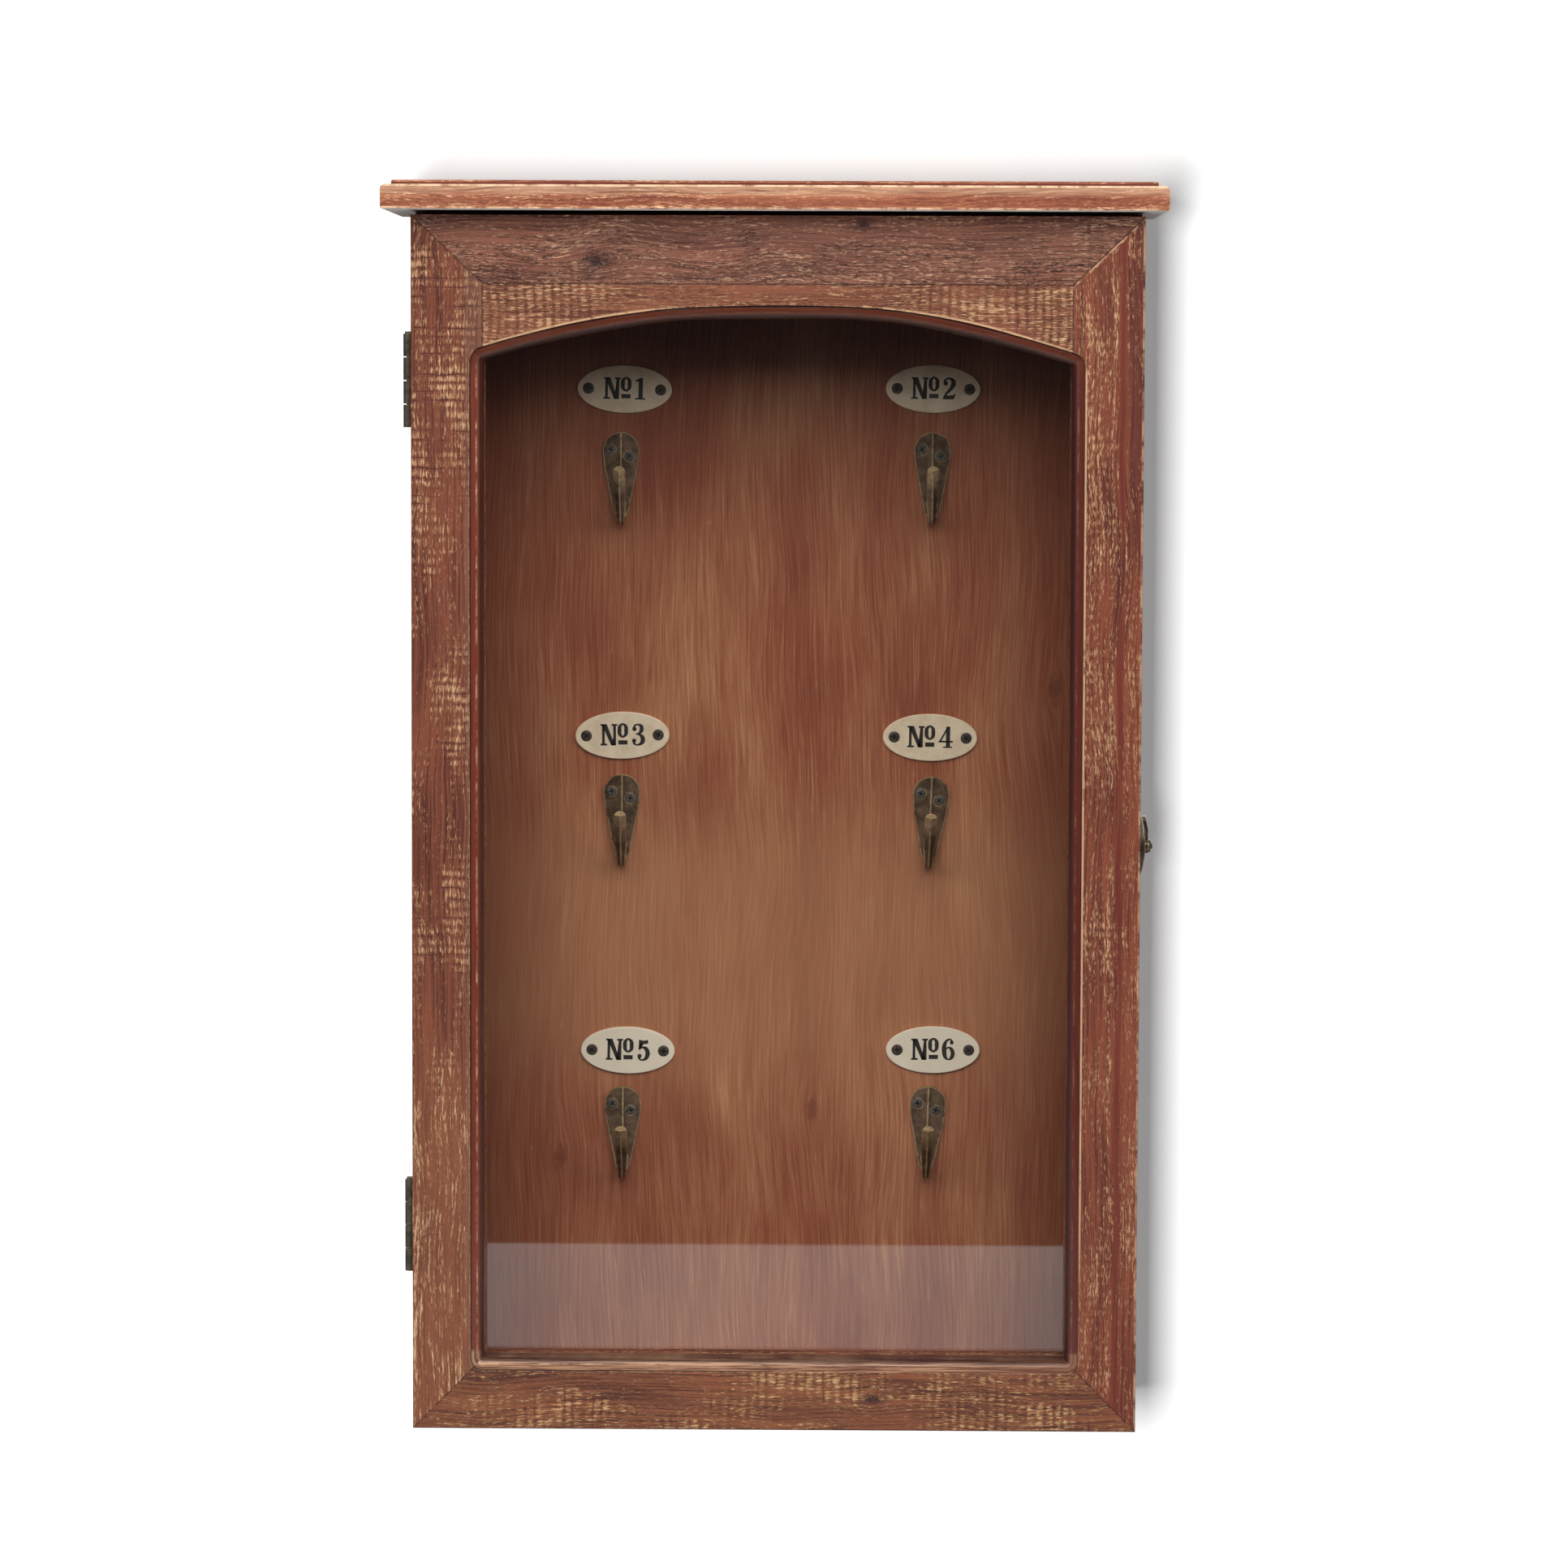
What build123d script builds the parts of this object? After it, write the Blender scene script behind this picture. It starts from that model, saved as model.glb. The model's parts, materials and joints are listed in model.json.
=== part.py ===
from build123d import *
import os

os.makedirs("parts", exist_ok=True)

# Wall-hung key cabinet with a glazed, arch-topped door.
# Millimetres. Origin: midway between the entrance holes of the two hanger
# plates, on the wall plane. +Z is up, -Y is to the front, +X is to the right.

# ---- overall ----
TOP = 26.0                  # upper face of the cap board
BOTTOM = -374.0             # lower end of the carcass and of the door
WIDTH = 232.8               # carcass and door
HALF = WIDTH / 2
# ---- cap board ----
CAP_W = 248.6
CAP_X = -1.0                # the cap sits a little to the left of centre
CAP_D = 76.0
CAP_T = 9.2
CAP_STRIP = 1.4             # raised top strip inside the moulded edge
CAP_INSET = 3.3             # set-back of that strip on the front and ends
CAP_ROUND = 1.6
CAP_LOW = TOP - CAP_T
# ---- carcass ----
DEPTH = 48.0                # wall plane to the carcass front edge
SIDE_T = 10.0
IN_X = HALF - SIDE_T        # inner face of a side
PANEL_T = 10.0              # top and bottom panels
HOUSING = 3.0               # depth of the housings that take those panels
BACK_T = 5.0
REBATE = 5.0                # lap of the back panel in its rebates
RAIL_Z0 = -13.0             # lower edge of the hanging rail
RAIL_T = 12.0
BACK_Z0 = BOTTOM + PANEL_T - REBATE
BACK_Z1 = RAIL_Z0 + REBATE
TOP_Z0 = CAP_LOW - PANEL_T
# ---- hanger plates ----
HANG_X = 80.0
HANG_R = 4.0                # entrance hole
HANG_SLOT = 2.2             # half width of the hanging slot
HANG_RISE = 7.0             # entrance hole up to the end of the slot
HANG_W, HANG_H, HANG_T = 30.0, 17.0, 1.5
HANG_C = 2.5                # centre of the plate above the entrance hole
# ---- door ----
DOOR_GAP = 1.0              # carcass front edge to the back of the door
DOOR_T = 18.0
DOOR_Y0 = DEPTH + DOOR_GAP
DOOR_Y1 = DOOR_Y0 + DOOR_T
DOOR_TOP = 15.3
STILE_IN = 93.6             # half width of the sight opening
TRIM_OUT = 97.8             # half width over the moulded inner edge
TOP_RAIL_Z = -6.4           # lower edge of the top rail
SIGHT_Z0 = -350.8           # lower edge of the sight opening
TRIM_Z0 = -355.1            # lower edge of the moulded inner edge
TRIM_STEP = 0.7             # depth of the quirk beside the round
TRIM_ROUND = 3.2            # radius of the round
TRIM_CORNER = 4.0
ARCH_DROP = 3.95            # width of the moulded edge below the arch line
GLASS_FRONT = 57.0
GLASS_T = 2.0
GLASS_X = 97.6              # half width of the glass rebate
GLASS_Z0 = -354.8
GLASS_CLEAR = 0.4
STRIP_W = 4.0
STRIP_Y0 = DOOR_Y0 + 1.0
ARCH = [
    (-97.8, -27.6), (-82.0, -22.9), (-66.5, -19.4), (-48.4, -16.0),
    (-32.9, -14.0), (-14.0, -13.35), (0.6, -13.25), (26.4, -13.5),
    (38.0, -14.5), (50.0, -16.4), (62.5, -19.1), (75.4, -22.3),
    (86.0, -25.2), (97.8, -29.0),
]
# ---- hinges ----
HINGE_Z = {"upper": -37.1, "lower": -310.7}
HINGE_L = 30.0
HINGE_R = 1.9
PIN_R = 0.9
PIN_CLEAR = 0.05
HINGE_X = -(HALF + 2.0)
HINGE_Y = -(DEPTH + DOOR_GAP / 2)
LEAF_T = 0.8
LEAF_IN = -107.6
KNUCKLE_GAP = 0.3
# ---- side catch ----
CATCH_Z = -185.5
CATCH_Y = -54.0
CATCH_L = 20.4
CATCH_W = 9.0
CATCH_RISE = 2.0
LEVER_T = 1.0
RIVET_R = 1.2
STUD_REACH = 7.7
STUD_R = 0.8
MOUTH_CLEAR = 0.45
# ---- key hooks and number plates ----
HOOKS = [
    (-52.2, -68.8, 0.0), (50.4, -68.5, 0.3),
    (-51.8, -181.8, 0.2), (50.3, -182.2, 2.2),
    (-51.4, -286.0, 0.0), (49.9, -285.5, 1.7),
]
PLATES = [
    (-51.1, -39.6, 1.3), (50.6, -39.2, 0.6),
    (-51.7, -153.9, -1.0), (50.2, -154.2, 0.8),
    (-49.8, -258.9, 0.9), (51.7, -258.3, 0.0),
]
PLATE_SCREW_R = 1.85
PLATE_A, PLATE_B, PLATE_T = 15.6, 7.85, 1.0
PLATE_SCREW = 11.9


# ---- helpers: called inside an open part ----
def block(x0, x1, y0, y1, z0, z1, mode=Mode.ADD):
    with Locations(((x0 + x1) / 2, (y0 + y1) / 2, (z0 + z1) / 2)):
        Box(abs(x1 - x0), abs(y1 - y0), abs(z1 - z0), mode=mode)


def rod_x(x0, x1, y, z, r, mode=Mode.ADD):
    with Locations(((x0 + x1) / 2, y, z)):
        Cylinder(r, abs(x1 - x0), rotation=(0, 90, 0), mode=mode)


def rod_y(x, y0, y1, z, r, mode=Mode.ADD):
    with Locations((x, (y0 + y1) / 2, z)):
        Cylinder(r, abs(y1 - y0), rotation=(90, 0, 0), mode=mode)


def rod_z(x, y, z0, z1, r, mode=Mode.ADD):
    with Locations((x, y, (z0 + z1) / 2)):
        Cylinder(r, abs(z1 - z0), mode=mode)


def cone_y(x, y_back, y_front, z, r_back, r_front, mode=Mode.ADD):
    with Locations((x, (y_back + y_front) / 2, z)):
        Cone(r_back, r_front, abs(y_back - y_front), rotation=(90, 0, 0), mode=mode)


def wood_screw(head_r, shank_r, sink, length, dome):
    """Cross-recess countersunk screw: head towards -Y with its rim at y = 0."""
    with BuildPart() as screw:
        cone_y(0, sink, 0, 0, shank_r, head_r)
        if dome > 0:
            cone_y(0, 0, -dome, 0, head_r, head_r * 0.72)
        rod_y(0, sink, length - 1.2, 0, shank_r)
        cone_y(0, length, length - 1.2, 0, shank_r * 0.25, shank_r)
        arm = head_r * 0.62
        web = head_r * 0.14
        deep = sink * 0.55
        block(-arm, arm, -dome - 1, deep, -web, web, Mode.SUBTRACT)
        block(-web, web, -dome - 1, deep, -arm, arm, Mode.SUBTRACT)
    return screw.part


def spots(part, places):
    """The same fastener at each (x, y, z, turn about Z, spin about its own axis)."""
    with BuildPart() as group:
        for x, y, z, turn, spin in places:
            add(part.moved(Location((x, y, z), (0, 0, turn)) * Location((0, 0, 0), (0, spin, 0))))
    return group


# ---- fastener positions ----
hook_screw_spots, hook_screw_xz = [], []
for i, (hx, hz, lean) in enumerate(HOOKS):
    for j, (dx, dz) in enumerate([(-3.4, 9.4), (2.7, 7.2)]):
        off = Vector(dx, 0, dz).rotate(Axis.Y, lean)
        hook_screw_xz.append((hx + off.X, hz + off.Z))
        hook_screw_spots.append((hx + off.X, -(BACK_T + 1.55), hz + off.Z, 0, 17 + 31 * i + 23 * j))
plate_screw_spots, plate_screw_xz = [], []
for i, (px, pz, lean) in enumerate(PLATES):
    for s in (-1, 1):
        off = Vector(s * PLATE_SCREW, 0, 0).rotate(Axis.Y, lean)
        plate_screw_xz.append((px + off.X, pz + off.Z))
        plate_screw_spots.append((px + off.X, -(BACK_T + PLATE_T), pz + off.Z, 0, 11 + 37 * i + 29 * s))
back_pin_xz = (
    [(s * (IN_X + 2.5), z) for s in (-1, 1) for z in (-30.0, -130.0, -235.0, -340.0)]
    + [(x, BACK_Z0 + 2.5) for x in (-62.0, 0.0, 62.0)]
    + [(x, BACK_Z1 - 2.5) for x in (-40.0, 40.0)]
)
dowel_xy = [(-64.0, -26.0), (0.0, -34.0), (64.0, -26.0)]
leaf_screw_dz = (-9.5, 9.5)
LEAF_SCREW_X = -112.0

# ---- cap board: moulded on the front and both ends ----
with BuildPart() as cap_board:
    with BuildSketch(Plane.XY.offset(CAP_LOW)):
        with Locations((CAP_X, -CAP_D / 2)):
            Rectangle(CAP_W, CAP_D)
    extrude(amount=CAP_T - CAP_STRIP)
    upper = cap_board.faces().sort_by(Axis.Z)[-1].edges()
    fillet([e for e in upper if e.center().Y < -1], CAP_ROUND)
    lower = cap_board.faces().sort_by(Axis.Z)[0].edges()
    fillet([e for e in lower if e.center().Y < -1], 0.7)
    with BuildSketch(Plane.XY.offset(TOP - CAP_STRIP)):
        with Locations((CAP_X, -(CAP_D - CAP_INSET) / 2)):
            Rectangle(CAP_W - 2 * CAP_INSET, CAP_D - CAP_INSET)
    extrude(amount=CAP_STRIP)
    crown = cap_board.faces().sort_by(Axis.Z)[-1].edges()
    fillet([e for e in crown if e.center().Y < -1], 0.5)
    for x, y in dowel_xy:
        rod_z(x, y, CAP_LOW, CAP_LOW + 6, 3.0, Mode.SUBTRACT)

# ---- carcass sides: housed for the panels, rebated for the back ----
def side(sign):
    with BuildPart() as body:
        block(sign * IN_X, sign * HALF, -DEPTH, 0, BOTTOM, CAP_LOW)
        outer = body.faces().sort_by(Axis.X)[-1 if sign > 0 else 0]
        fillet([e for e in outer.edges() if e.center().Z > BOTTOM - 1 and e.center().Z < CAP_LOW - 1], 0.5)
        block(sign * IN_X, sign * (IN_X + REBATE), -BACK_T, 1, BACK_Z0, BACK_Z1, Mode.SUBTRACT)
        block(sign * (IN_X - 1), sign * (IN_X + HOUSING), -DEPTH - 1, 1, BOTTOM - 1, BOTTOM + PANEL_T, Mode.SUBTRACT)
        block(sign * (IN_X - 1), sign * (IN_X + HOUSING), -DEPTH - 1, -RAIL_T, TOP_Z0, CAP_LOW + 1, Mode.SUBTRACT)
        for x, z in back_pin_xz:
            if x * sign > IN_X:
                rod_y(x, -BACK_T - 5, -BACK_T, z, 0.6, Mode.SUBTRACT)
        if sign < 0:
            for zc in HINGE_Z.values():
                block(-HALF - 1, LEAF_IN + 0.1, -DEPTH - 1, -DEPTH + LEAF_T, zc - HINGE_L / 2 - 0.1, zc + HINGE_L / 2 + 0.1, Mode.SUBTRACT)
                for dz in leaf_screw_dz:
                    rod_y(LEAF_SCREW_X, -DEPTH, -DEPTH + 9, zc + dz, 0.8, Mode.SUBTRACT)
        else:
            rod_x(HALF - 6, HALF + 1, CATCH_Y + STUD_REACH, CATCH_Z, STUD_R, Mode.SUBTRACT)
            rod_x(HALF - 7, HALF + 1, -41.6, CATCH_Z, 0.7, Mode.SUBTRACT)
    return body


side_left = side(-1)
side_right = side(1)

# ---- top and bottom panels ----
with BuildPart() as top_panel:
    block(-IN_X - HOUSING, IN_X + HOUSING, -DEPTH, -RAIL_T, TOP_Z0, CAP_LOW)
    for x, y in dowel_xy:
        rod_z(x, y, CAP_LOW - 6, CAP_LOW, 3.0, Mode.SUBTRACT)
with BuildPart() as bottom_panel:
    block(-IN_X - HOUSING, IN_X + HOUSING, -DEPTH, 0, BOTTOM, BOTTOM + PANEL_T)
    block(-HALF, HALF, -BACK_T, 1, BACK_Z0, BOTTOM + PANEL_T + 1, Mode.SUBTRACT)
    for x, z in back_pin_xz:
        if abs(x) < IN_X and z < -300:
            rod_y(x, -BACK_T - 5, -BACK_T, z, 0.6, Mode.SUBTRACT)

# ---- hanging rail: carries the hanger plates, laps the top of the back ----
with BuildPart() as hanging_rail:
    block(-IN_X, IN_X, -RAIL_T, 0, RAIL_Z0, CAP_LOW)
    block(-IN_X - 1, IN_X + 1, -BACK_T, 1, RAIL_Z0 - 1, BACK_Z1, Mode.SUBTRACT)
    for s in (-1, 1):
        with BuildSketch(Plane.XZ):
            with Locations((s * HANG_X, HANG_C)):
                SlotOverall(HANG_W, HANG_H)
        extrude(amount=HANG_T, mode=Mode.SUBTRACT)
        block(s * HANG_X - 5, s * HANG_X + 5, -HANG_T - 6.5, -HANG_T, -5.0, 10.0, Mode.SUBTRACT)
        for dx in (-11, 11):
            rod_y(s * HANG_X + dx, -HANG_T - 8, -HANG_T, HANG_C, 0.8, Mode.SUBTRACT)
    for x, z in back_pin_xz:
        if abs(x) < IN_X and z > -100:
            rod_y(x, -BACK_T - 5, -BACK_T, z, 0.6, Mode.SUBTRACT)

# ---- back panel ----
with BuildPart() as back_panel:
    block(-IN_X - REBATE, IN_X + REBATE, -BACK_T, 0, BACK_Z0, BACK_Z1)
    for x, z in hook_screw_xz + plate_screw_xz:
        rod_y(x, -BACK_T - 1, -0.6, z, 0.8, Mode.SUBTRACT)
    for x, z in back_pin_xz:
        rod_y(x, -BACK_T - 1, 1, z, 0.6, Mode.SUBTRACT)
        rod_y(x, -0.5, 1, z, 1.1, Mode.SUBTRACT)
with BuildPart() as back_panel_pins:
    for x, z in back_pin_xz:
        rod_y(x, -0.5, 0, z, 1.1)
        rod_y(x, -BACK_T - 5, -0.5, z, 0.6)
with BuildPart() as cap_dowels:
    for x, y in dowel_xy:
        rod_z(x, y, CAP_LOW - 6, CAP_LOW + 6, 3.0)


# ---- hanger plates: keyholes let flush into the hanging rail ----
def hanger(sign):
    with BuildPart() as plate:
        with BuildSketch(Plane.XZ):
            with Locations((sign * HANG_X, HANG_C)):
                SlotOverall(HANG_W, HANG_H)
            with Locations((sign * HANG_X, 0)):
                Circle(HANG_R, mode=Mode.SUBTRACT)
            with Locations((sign * HANG_X, HANG_RISE / 2)):
                Rectangle(2 * HANG_SLOT, HANG_RISE, mode=Mode.SUBTRACT)
            with Locations((sign * HANG_X, HANG_RISE)):
                Circle(HANG_SLOT, mode=Mode.SUBTRACT)
        extrude(amount=HANG_T)
        for dx in (-11, 11):
            cone_y(sign * HANG_X + dx, 0, -1.1, HANG_C, 1.7, 0.8, Mode.SUBTRACT)
            rod_y(sign * HANG_X + dx, -2, 0, HANG_C, 0.8, Mode.SUBTRACT)
    return plate


hanger_left = hanger(-1)
hanger_right = hanger(1)
hanger_screws = spots(
    wood_screw(1.7, 0.8, 1.1, 8.0, 0.0),
    [(s * HANG_X + dx, 0, HANG_C, 180, 20 + 35 * s + dx) for s in (-1, 1) for dx in (-11, 11)],
)

# ---- door frame: worked as one moulded blank, then parted at the mitres ----
slopes = [
    (ARCH[min(i + 1, len(ARCH) - 1)][1] - ARCH[max(i - 1, 0)][1])
    / (ARCH[min(i + 1, len(ARCH) - 1)][0] - ARCH[max(i - 1, 0)][0])
    for i in range(len(ARCH))
]
arch_in = [(x, z - ARCH_DROP * (1 + s * s) ** 0.5) for (x, z), s in zip(ARCH, slopes)]
arch_in = arch_in[1:-1]
SIGHT_ZL, SIGHT_ZR = -30.4, -31.6     # arch line at the sides of the sight opening

with BuildSketch(Plane.XZ.offset(DOOR_Y1 - TRIM_STEP)) as quirk:
    with BuildLine():
        Spline(ARCH)
        Polyline([ARCH[-1], (TRIM_OUT, TRIM_Z0), (-TRIM_OUT, TRIM_Z0), ARCH[0]])
    make_face()
    fillet(quirk.vertices(), TRIM_CORNER)


def cut_quirk():
    extrude(quirk.sketch, amount=TRIM_STEP + 0.5, mode=Mode.SUBTRACT)


def cut_rebate():
    block(-GLASS_X, GLASS_X, -GLASS_FRONT, -DOOR_Y0 + 1, GLASS_Z0, TOP_RAIL_Z, Mode.SUBTRACT)


def round_cutter(sign, z0, z1):
    """What the round takes off the inner edge of a stile between two heights."""
    with BuildPart() as cutter:
        block(sign * STILE_IN, sign * (STILE_IN + TRIM_ROUND), -DOOR_Y1 - 1, -DOOR_Y1 + TRIM_STEP + TRIM_ROUND, z0, z1)
        rod_z(sign * (STILE_IN + TRIM_ROUND), -DOOR_Y1 + TRIM_STEP + TRIM_ROUND, z0 - 1, z1 + 1, TRIM_ROUND, Mode.SUBTRACT)
    return cutter.part


def corner_cutter(sign, z_corner, lean):
    """The mitred meeting of a stile's round with the round along the arch."""
    with BuildPart() as along:
        block(-8, 8, -DOOR_Y1 - 1, -DOOR_Y1 + TRIM_STEP + TRIM_ROUND, 0, TRIM_ROUND)
        rod_x(-9, 9, -DOOR_Y1 + TRIM_STEP + TRIM_ROUND, TRIM_ROUND, TRIM_ROUND, Mode.SUBTRACT)
    with BuildPart() as cutter:
        add(round_cutter(sign, z_corner - 1, z_corner + 9))
        add(along.part.moved(Location((sign * STILE_IN, 0, z_corner), (0, lean, 0))), mode=Mode.INTERSECT)
    return cutter.part


def outer_arris(part):
    return [e for e in part.edges() if abs(e.center().Y + DOOR_Y1) < 0.01 and (
        abs(abs(e.center().X) - HALF) < 0.01 or abs(e.center().Z - DOOR_TOP) < 0.01 or abs(e.center().Z - BOTTOM) < 0.01)]


strip_pins = (
    [("x", s, -52.4, z) for s in (-1, 1) for z in (-60.0, -180.0, -300.0)]
    + [("z", s, -52.4, x) for s in (-1, 1) for x in (-55.0, 55.0)]
)


def pin_holes(axis, sign):
    for a, s, y, q in strip_pins:
        if a == axis and s == sign:
            if a == "x":
                rod_x(s * (GLASS_X - STRIP_W), s * (GLASS_X + 4.5), y, q, 0.5, Mode.SUBTRACT)
            elif s > 0:
                rod_z(q, y, TOP_RAIL_Z - STRIP_W, TOP_RAIL_Z + 4.5, 0.5, Mode.SUBTRACT)
            else:
                rod_z(q, y, GLASS_Z0 - 4.5, GLASS_Z0 + STRIP_W, 0.5, Mode.SUBTRACT)


def member(corners):
    with BuildSketch(Plane.XZ.offset(DOOR_Y0)) as zone:
        with BuildLine():
            Polyline(corners + [corners[0]])
        make_face()
    extrude(zone.sketch, amount=DOOR_T)


with BuildPart() as door_stile_left:
    member([(-HALF, DOOR_TOP), (-STILE_IN, TOP_RAIL_Z), (-STILE_IN, SIGHT_Z0), (-HALF, BOTTOM)])
    fillet(outer_arris(door_stile_left), 0.6)
    cut_quirk()
    add(round_cutter(-1, SIGHT_Z0 - 8, SIGHT_ZL), mode=Mode.SUBTRACT)
    add(corner_cutter(-1, SIGHT_ZL, -16.3), mode=Mode.SUBTRACT)
    cut_rebate()
    for zc in HINGE_Z.values():
        block(-HALF - 1, LEAF_IN + 0.1, -DOOR_Y0 - LEAF_T, -DOOR_Y0 + 1, zc - HINGE_L / 2 - 0.1, zc + HINGE_L / 2 + 0.1, Mode.SUBTRACT)
        for dz in leaf_screw_dz:
            rod_y(LEAF_SCREW_X, -DOOR_Y0 - 9, -DOOR_Y0, zc + dz, 0.8, Mode.SUBTRACT)
    pin_holes("x", -1)
with BuildPart() as door_stile_right:
    member([(HALF, DOOR_TOP), (STILE_IN, TOP_RAIL_Z), (STILE_IN, SIGHT_Z0), (HALF, BOTTOM)])
    fillet(outer_arris(door_stile_right), 0.6)
    cut_quirk()
    add(round_cutter(1, SIGHT_Z0 - 8, SIGHT_ZR), mode=Mode.SUBTRACT)
    add(corner_cutter(1, SIGHT_ZR, 16.9), mode=Mode.SUBTRACT)
    cut_rebate()
    rod_x(HALF - 7, HALF + 1, CATCH_Y, CATCH_Z, RIVET_R, Mode.SUBTRACT)
    for dz in (-7.2, 7.2):
        rod_x(HALF - 6, HALF + 1, CATCH_Y, CATCH_Z + dz, 0.6, Mode.SUBTRACT)
    pin_holes("x", 1)
with BuildPart() as door_rail_top:
    member([(-HALF, DOOR_TOP), (HALF, DOOR_TOP), (STILE_IN, TOP_RAIL_Z), (-STILE_IN, TOP_RAIL_Z)])
    fillet(outer_arris(door_rail_top), 0.6)
    pin_holes("z", 1)
with BuildPart() as door_rail_bottom:
    member([(-HALF, BOTTOM), (-STILE_IN, SIGHT_Z0), (STILE_IN, SIGHT_Z0), (HALF, BOTTOM)])
    fillet(outer_arris(door_rail_bottom), 0.6)
    cut_quirk()
    inner = [
        e for e in door_rail_bottom.edges()
        if abs(e.center().Y + DOOR_Y1 - TRIM_STEP) < 0.01 and abs(e.center().Z - SIGHT_Z0) < 0.01
    ]
    fillet(inner, TRIM_ROUND)
    cut_rebate()
    pin_holes("z", -1)
with BuildPart() as arch_board:
    with BuildSketch(Plane.XZ.offset(GLASS_FRONT)):
        with BuildLine():
            Spline([(-STILE_IN, SIGHT_ZL)] + arch_in + [(STILE_IN, SIGHT_ZR)])
            Polyline([(STILE_IN, SIGHT_ZR), (STILE_IN, TOP_RAIL_Z), (-STILE_IN, TOP_RAIL_Z), (-STILE_IN, SIGHT_ZL)])
        make_face()
    extrude(amount=DOOR_Y1 - GLASS_FRONT)
    cut_quirk()
    under = arch_board.faces().filter_by(lambda f: f.normal_at(f.center()).Z < -0.5 and f.center().Y > -DOOR_Y1 + TRIM_STEP).sort_by(Axis.Z)[0]
    fillet([e for e in under.edges() if abs(e.center().Y + DOOR_Y1 - TRIM_STEP) < 0.01], TRIM_ROUND)

# ---- glazing ----
with BuildPart() as glass_pane:
    block(
        -GLASS_X + GLASS_CLEAR, GLASS_X - GLASS_CLEAR, -GLASS_FRONT, -GLASS_FRONT + GLASS_T,
        GLASS_Z0 + GLASS_CLEAR, TOP_RAIL_Z - GLASS_CLEAR,
    )
STRIP_BACK = -STRIP_Y0
STRIP_FRONT = -GLASS_FRONT + GLASS_T
with BuildPart() as glazing_strip_left:
    block(-GLASS_X, -GLASS_X + STRIP_W, STRIP_FRONT, STRIP_BACK, GLASS_Z0 + STRIP_W, TOP_RAIL_Z - STRIP_W)
    chamfer([e for e in glazing_strip_left.edges() if e.center().X > -GLASS_X + STRIP_W - 0.1 and e.center().Y > STRIP_BACK - 0.1 and abs(e.center().Z + 182) < 20], 1.2)
    pin_holes("x", -1)
with BuildPart() as glazing_strip_right:
    block(GLASS_X - STRIP_W, GLASS_X, STRIP_FRONT, STRIP_BACK, GLASS_Z0 + STRIP_W, TOP_RAIL_Z - STRIP_W)
    chamfer([e for e in glazing_strip_right.edges() if e.center().X < GLASS_X - STRIP_W + 0.1 and e.center().Y > STRIP_BACK - 0.1 and abs(e.center().Z + 182) < 20], 1.2)
    pin_holes("x", 1)
with BuildPart() as glazing_strip_top:
    block(-GLASS_X, GLASS_X, STRIP_FRONT, STRIP_BACK, TOP_RAIL_Z - STRIP_W, TOP_RAIL_Z)
    pin_holes("z", 1)
with BuildPart() as glazing_strip_bottom:
    block(-GLASS_X, GLASS_X, STRIP_FRONT, STRIP_BACK, GLASS_Z0, GLASS_Z0 + STRIP_W)
    pin_holes("z", -1)
with BuildPart() as glazing_pins:
    for a, s, y, q in strip_pins:
        if a == "x":
            rod_x(s * (GLASS_X - STRIP_W), s * (GLASS_X + 4.5), y, q, 0.5)
        elif s > 0:
            rod_z(q, y, TOP_RAIL_Z - STRIP_W, TOP_RAIL_Z + 4.5, 0.5)
        else:
            rod_z(q, y, GLASS_Z0 - 4.5, GLASS_Z0 + STRIP_W, 0.5)


# ---- butt hinges: leaves let in flush, four knuckles standing proud ----
def knuckles(zc, first):
    pitch = (HINGE_L + KNUCKLE_GAP) / 4
    top = zc + HINGE_L / 2
    return [(top - (k + 1) * pitch + KNUCKLE_GAP, top - k * pitch) for k in range(first, 4, 2)]


def leaf(zc, on_door):
    y0, y1 = (-DOOR_Y0 - LEAF_T, -DOOR_Y0) if on_door else (-DEPTH, -DEPTH + LEAF_T)
    face, deep = (y1, y0) if on_door else (y0, y1)
    bore = PIN_R + (PIN_CLEAR if on_door else 0)
    with BuildPart() as part:
        block(-HALF + 0.1, LEAF_IN, y0, y1, zc - HINGE_L / 2, zc + HINGE_L / 2)
        for z0, z1 in knuckles(zc, 1 if on_door else 0):
            rod_z(HINGE_X, HINGE_Y, z0, z1, HINGE_R)
            block(HINGE_X, -HALF + 0.1, y0, y1, z0, z1)
        rod_z(HINGE_X, HINGE_Y, zc - HINGE_L, zc + HINGE_L, bore, Mode.SUBTRACT)
        for dz in leaf_screw_dz:
            if on_door:
                cone_y(LEAF_SCREW_X, face, deep, zc + dz, 1.6, 0.8, Mode.SUBTRACT)
            else:
                cone_y(LEAF_SCREW_X, deep, face, zc + dz, 0.8, 1.6, Mode.SUBTRACT)
    return part


def hinge_pin(zc):
    with BuildPart() as part:
        rod_z(HINGE_X, HINGE_Y, zc - HINGE_L / 2, zc + HINGE_L / 2, PIN_R)
        rod_z(HINGE_X, HINGE_Y, zc + HINGE_L / 2, zc + HINGE_L / 2 + 0.7, 1.4)
    return part


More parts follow.
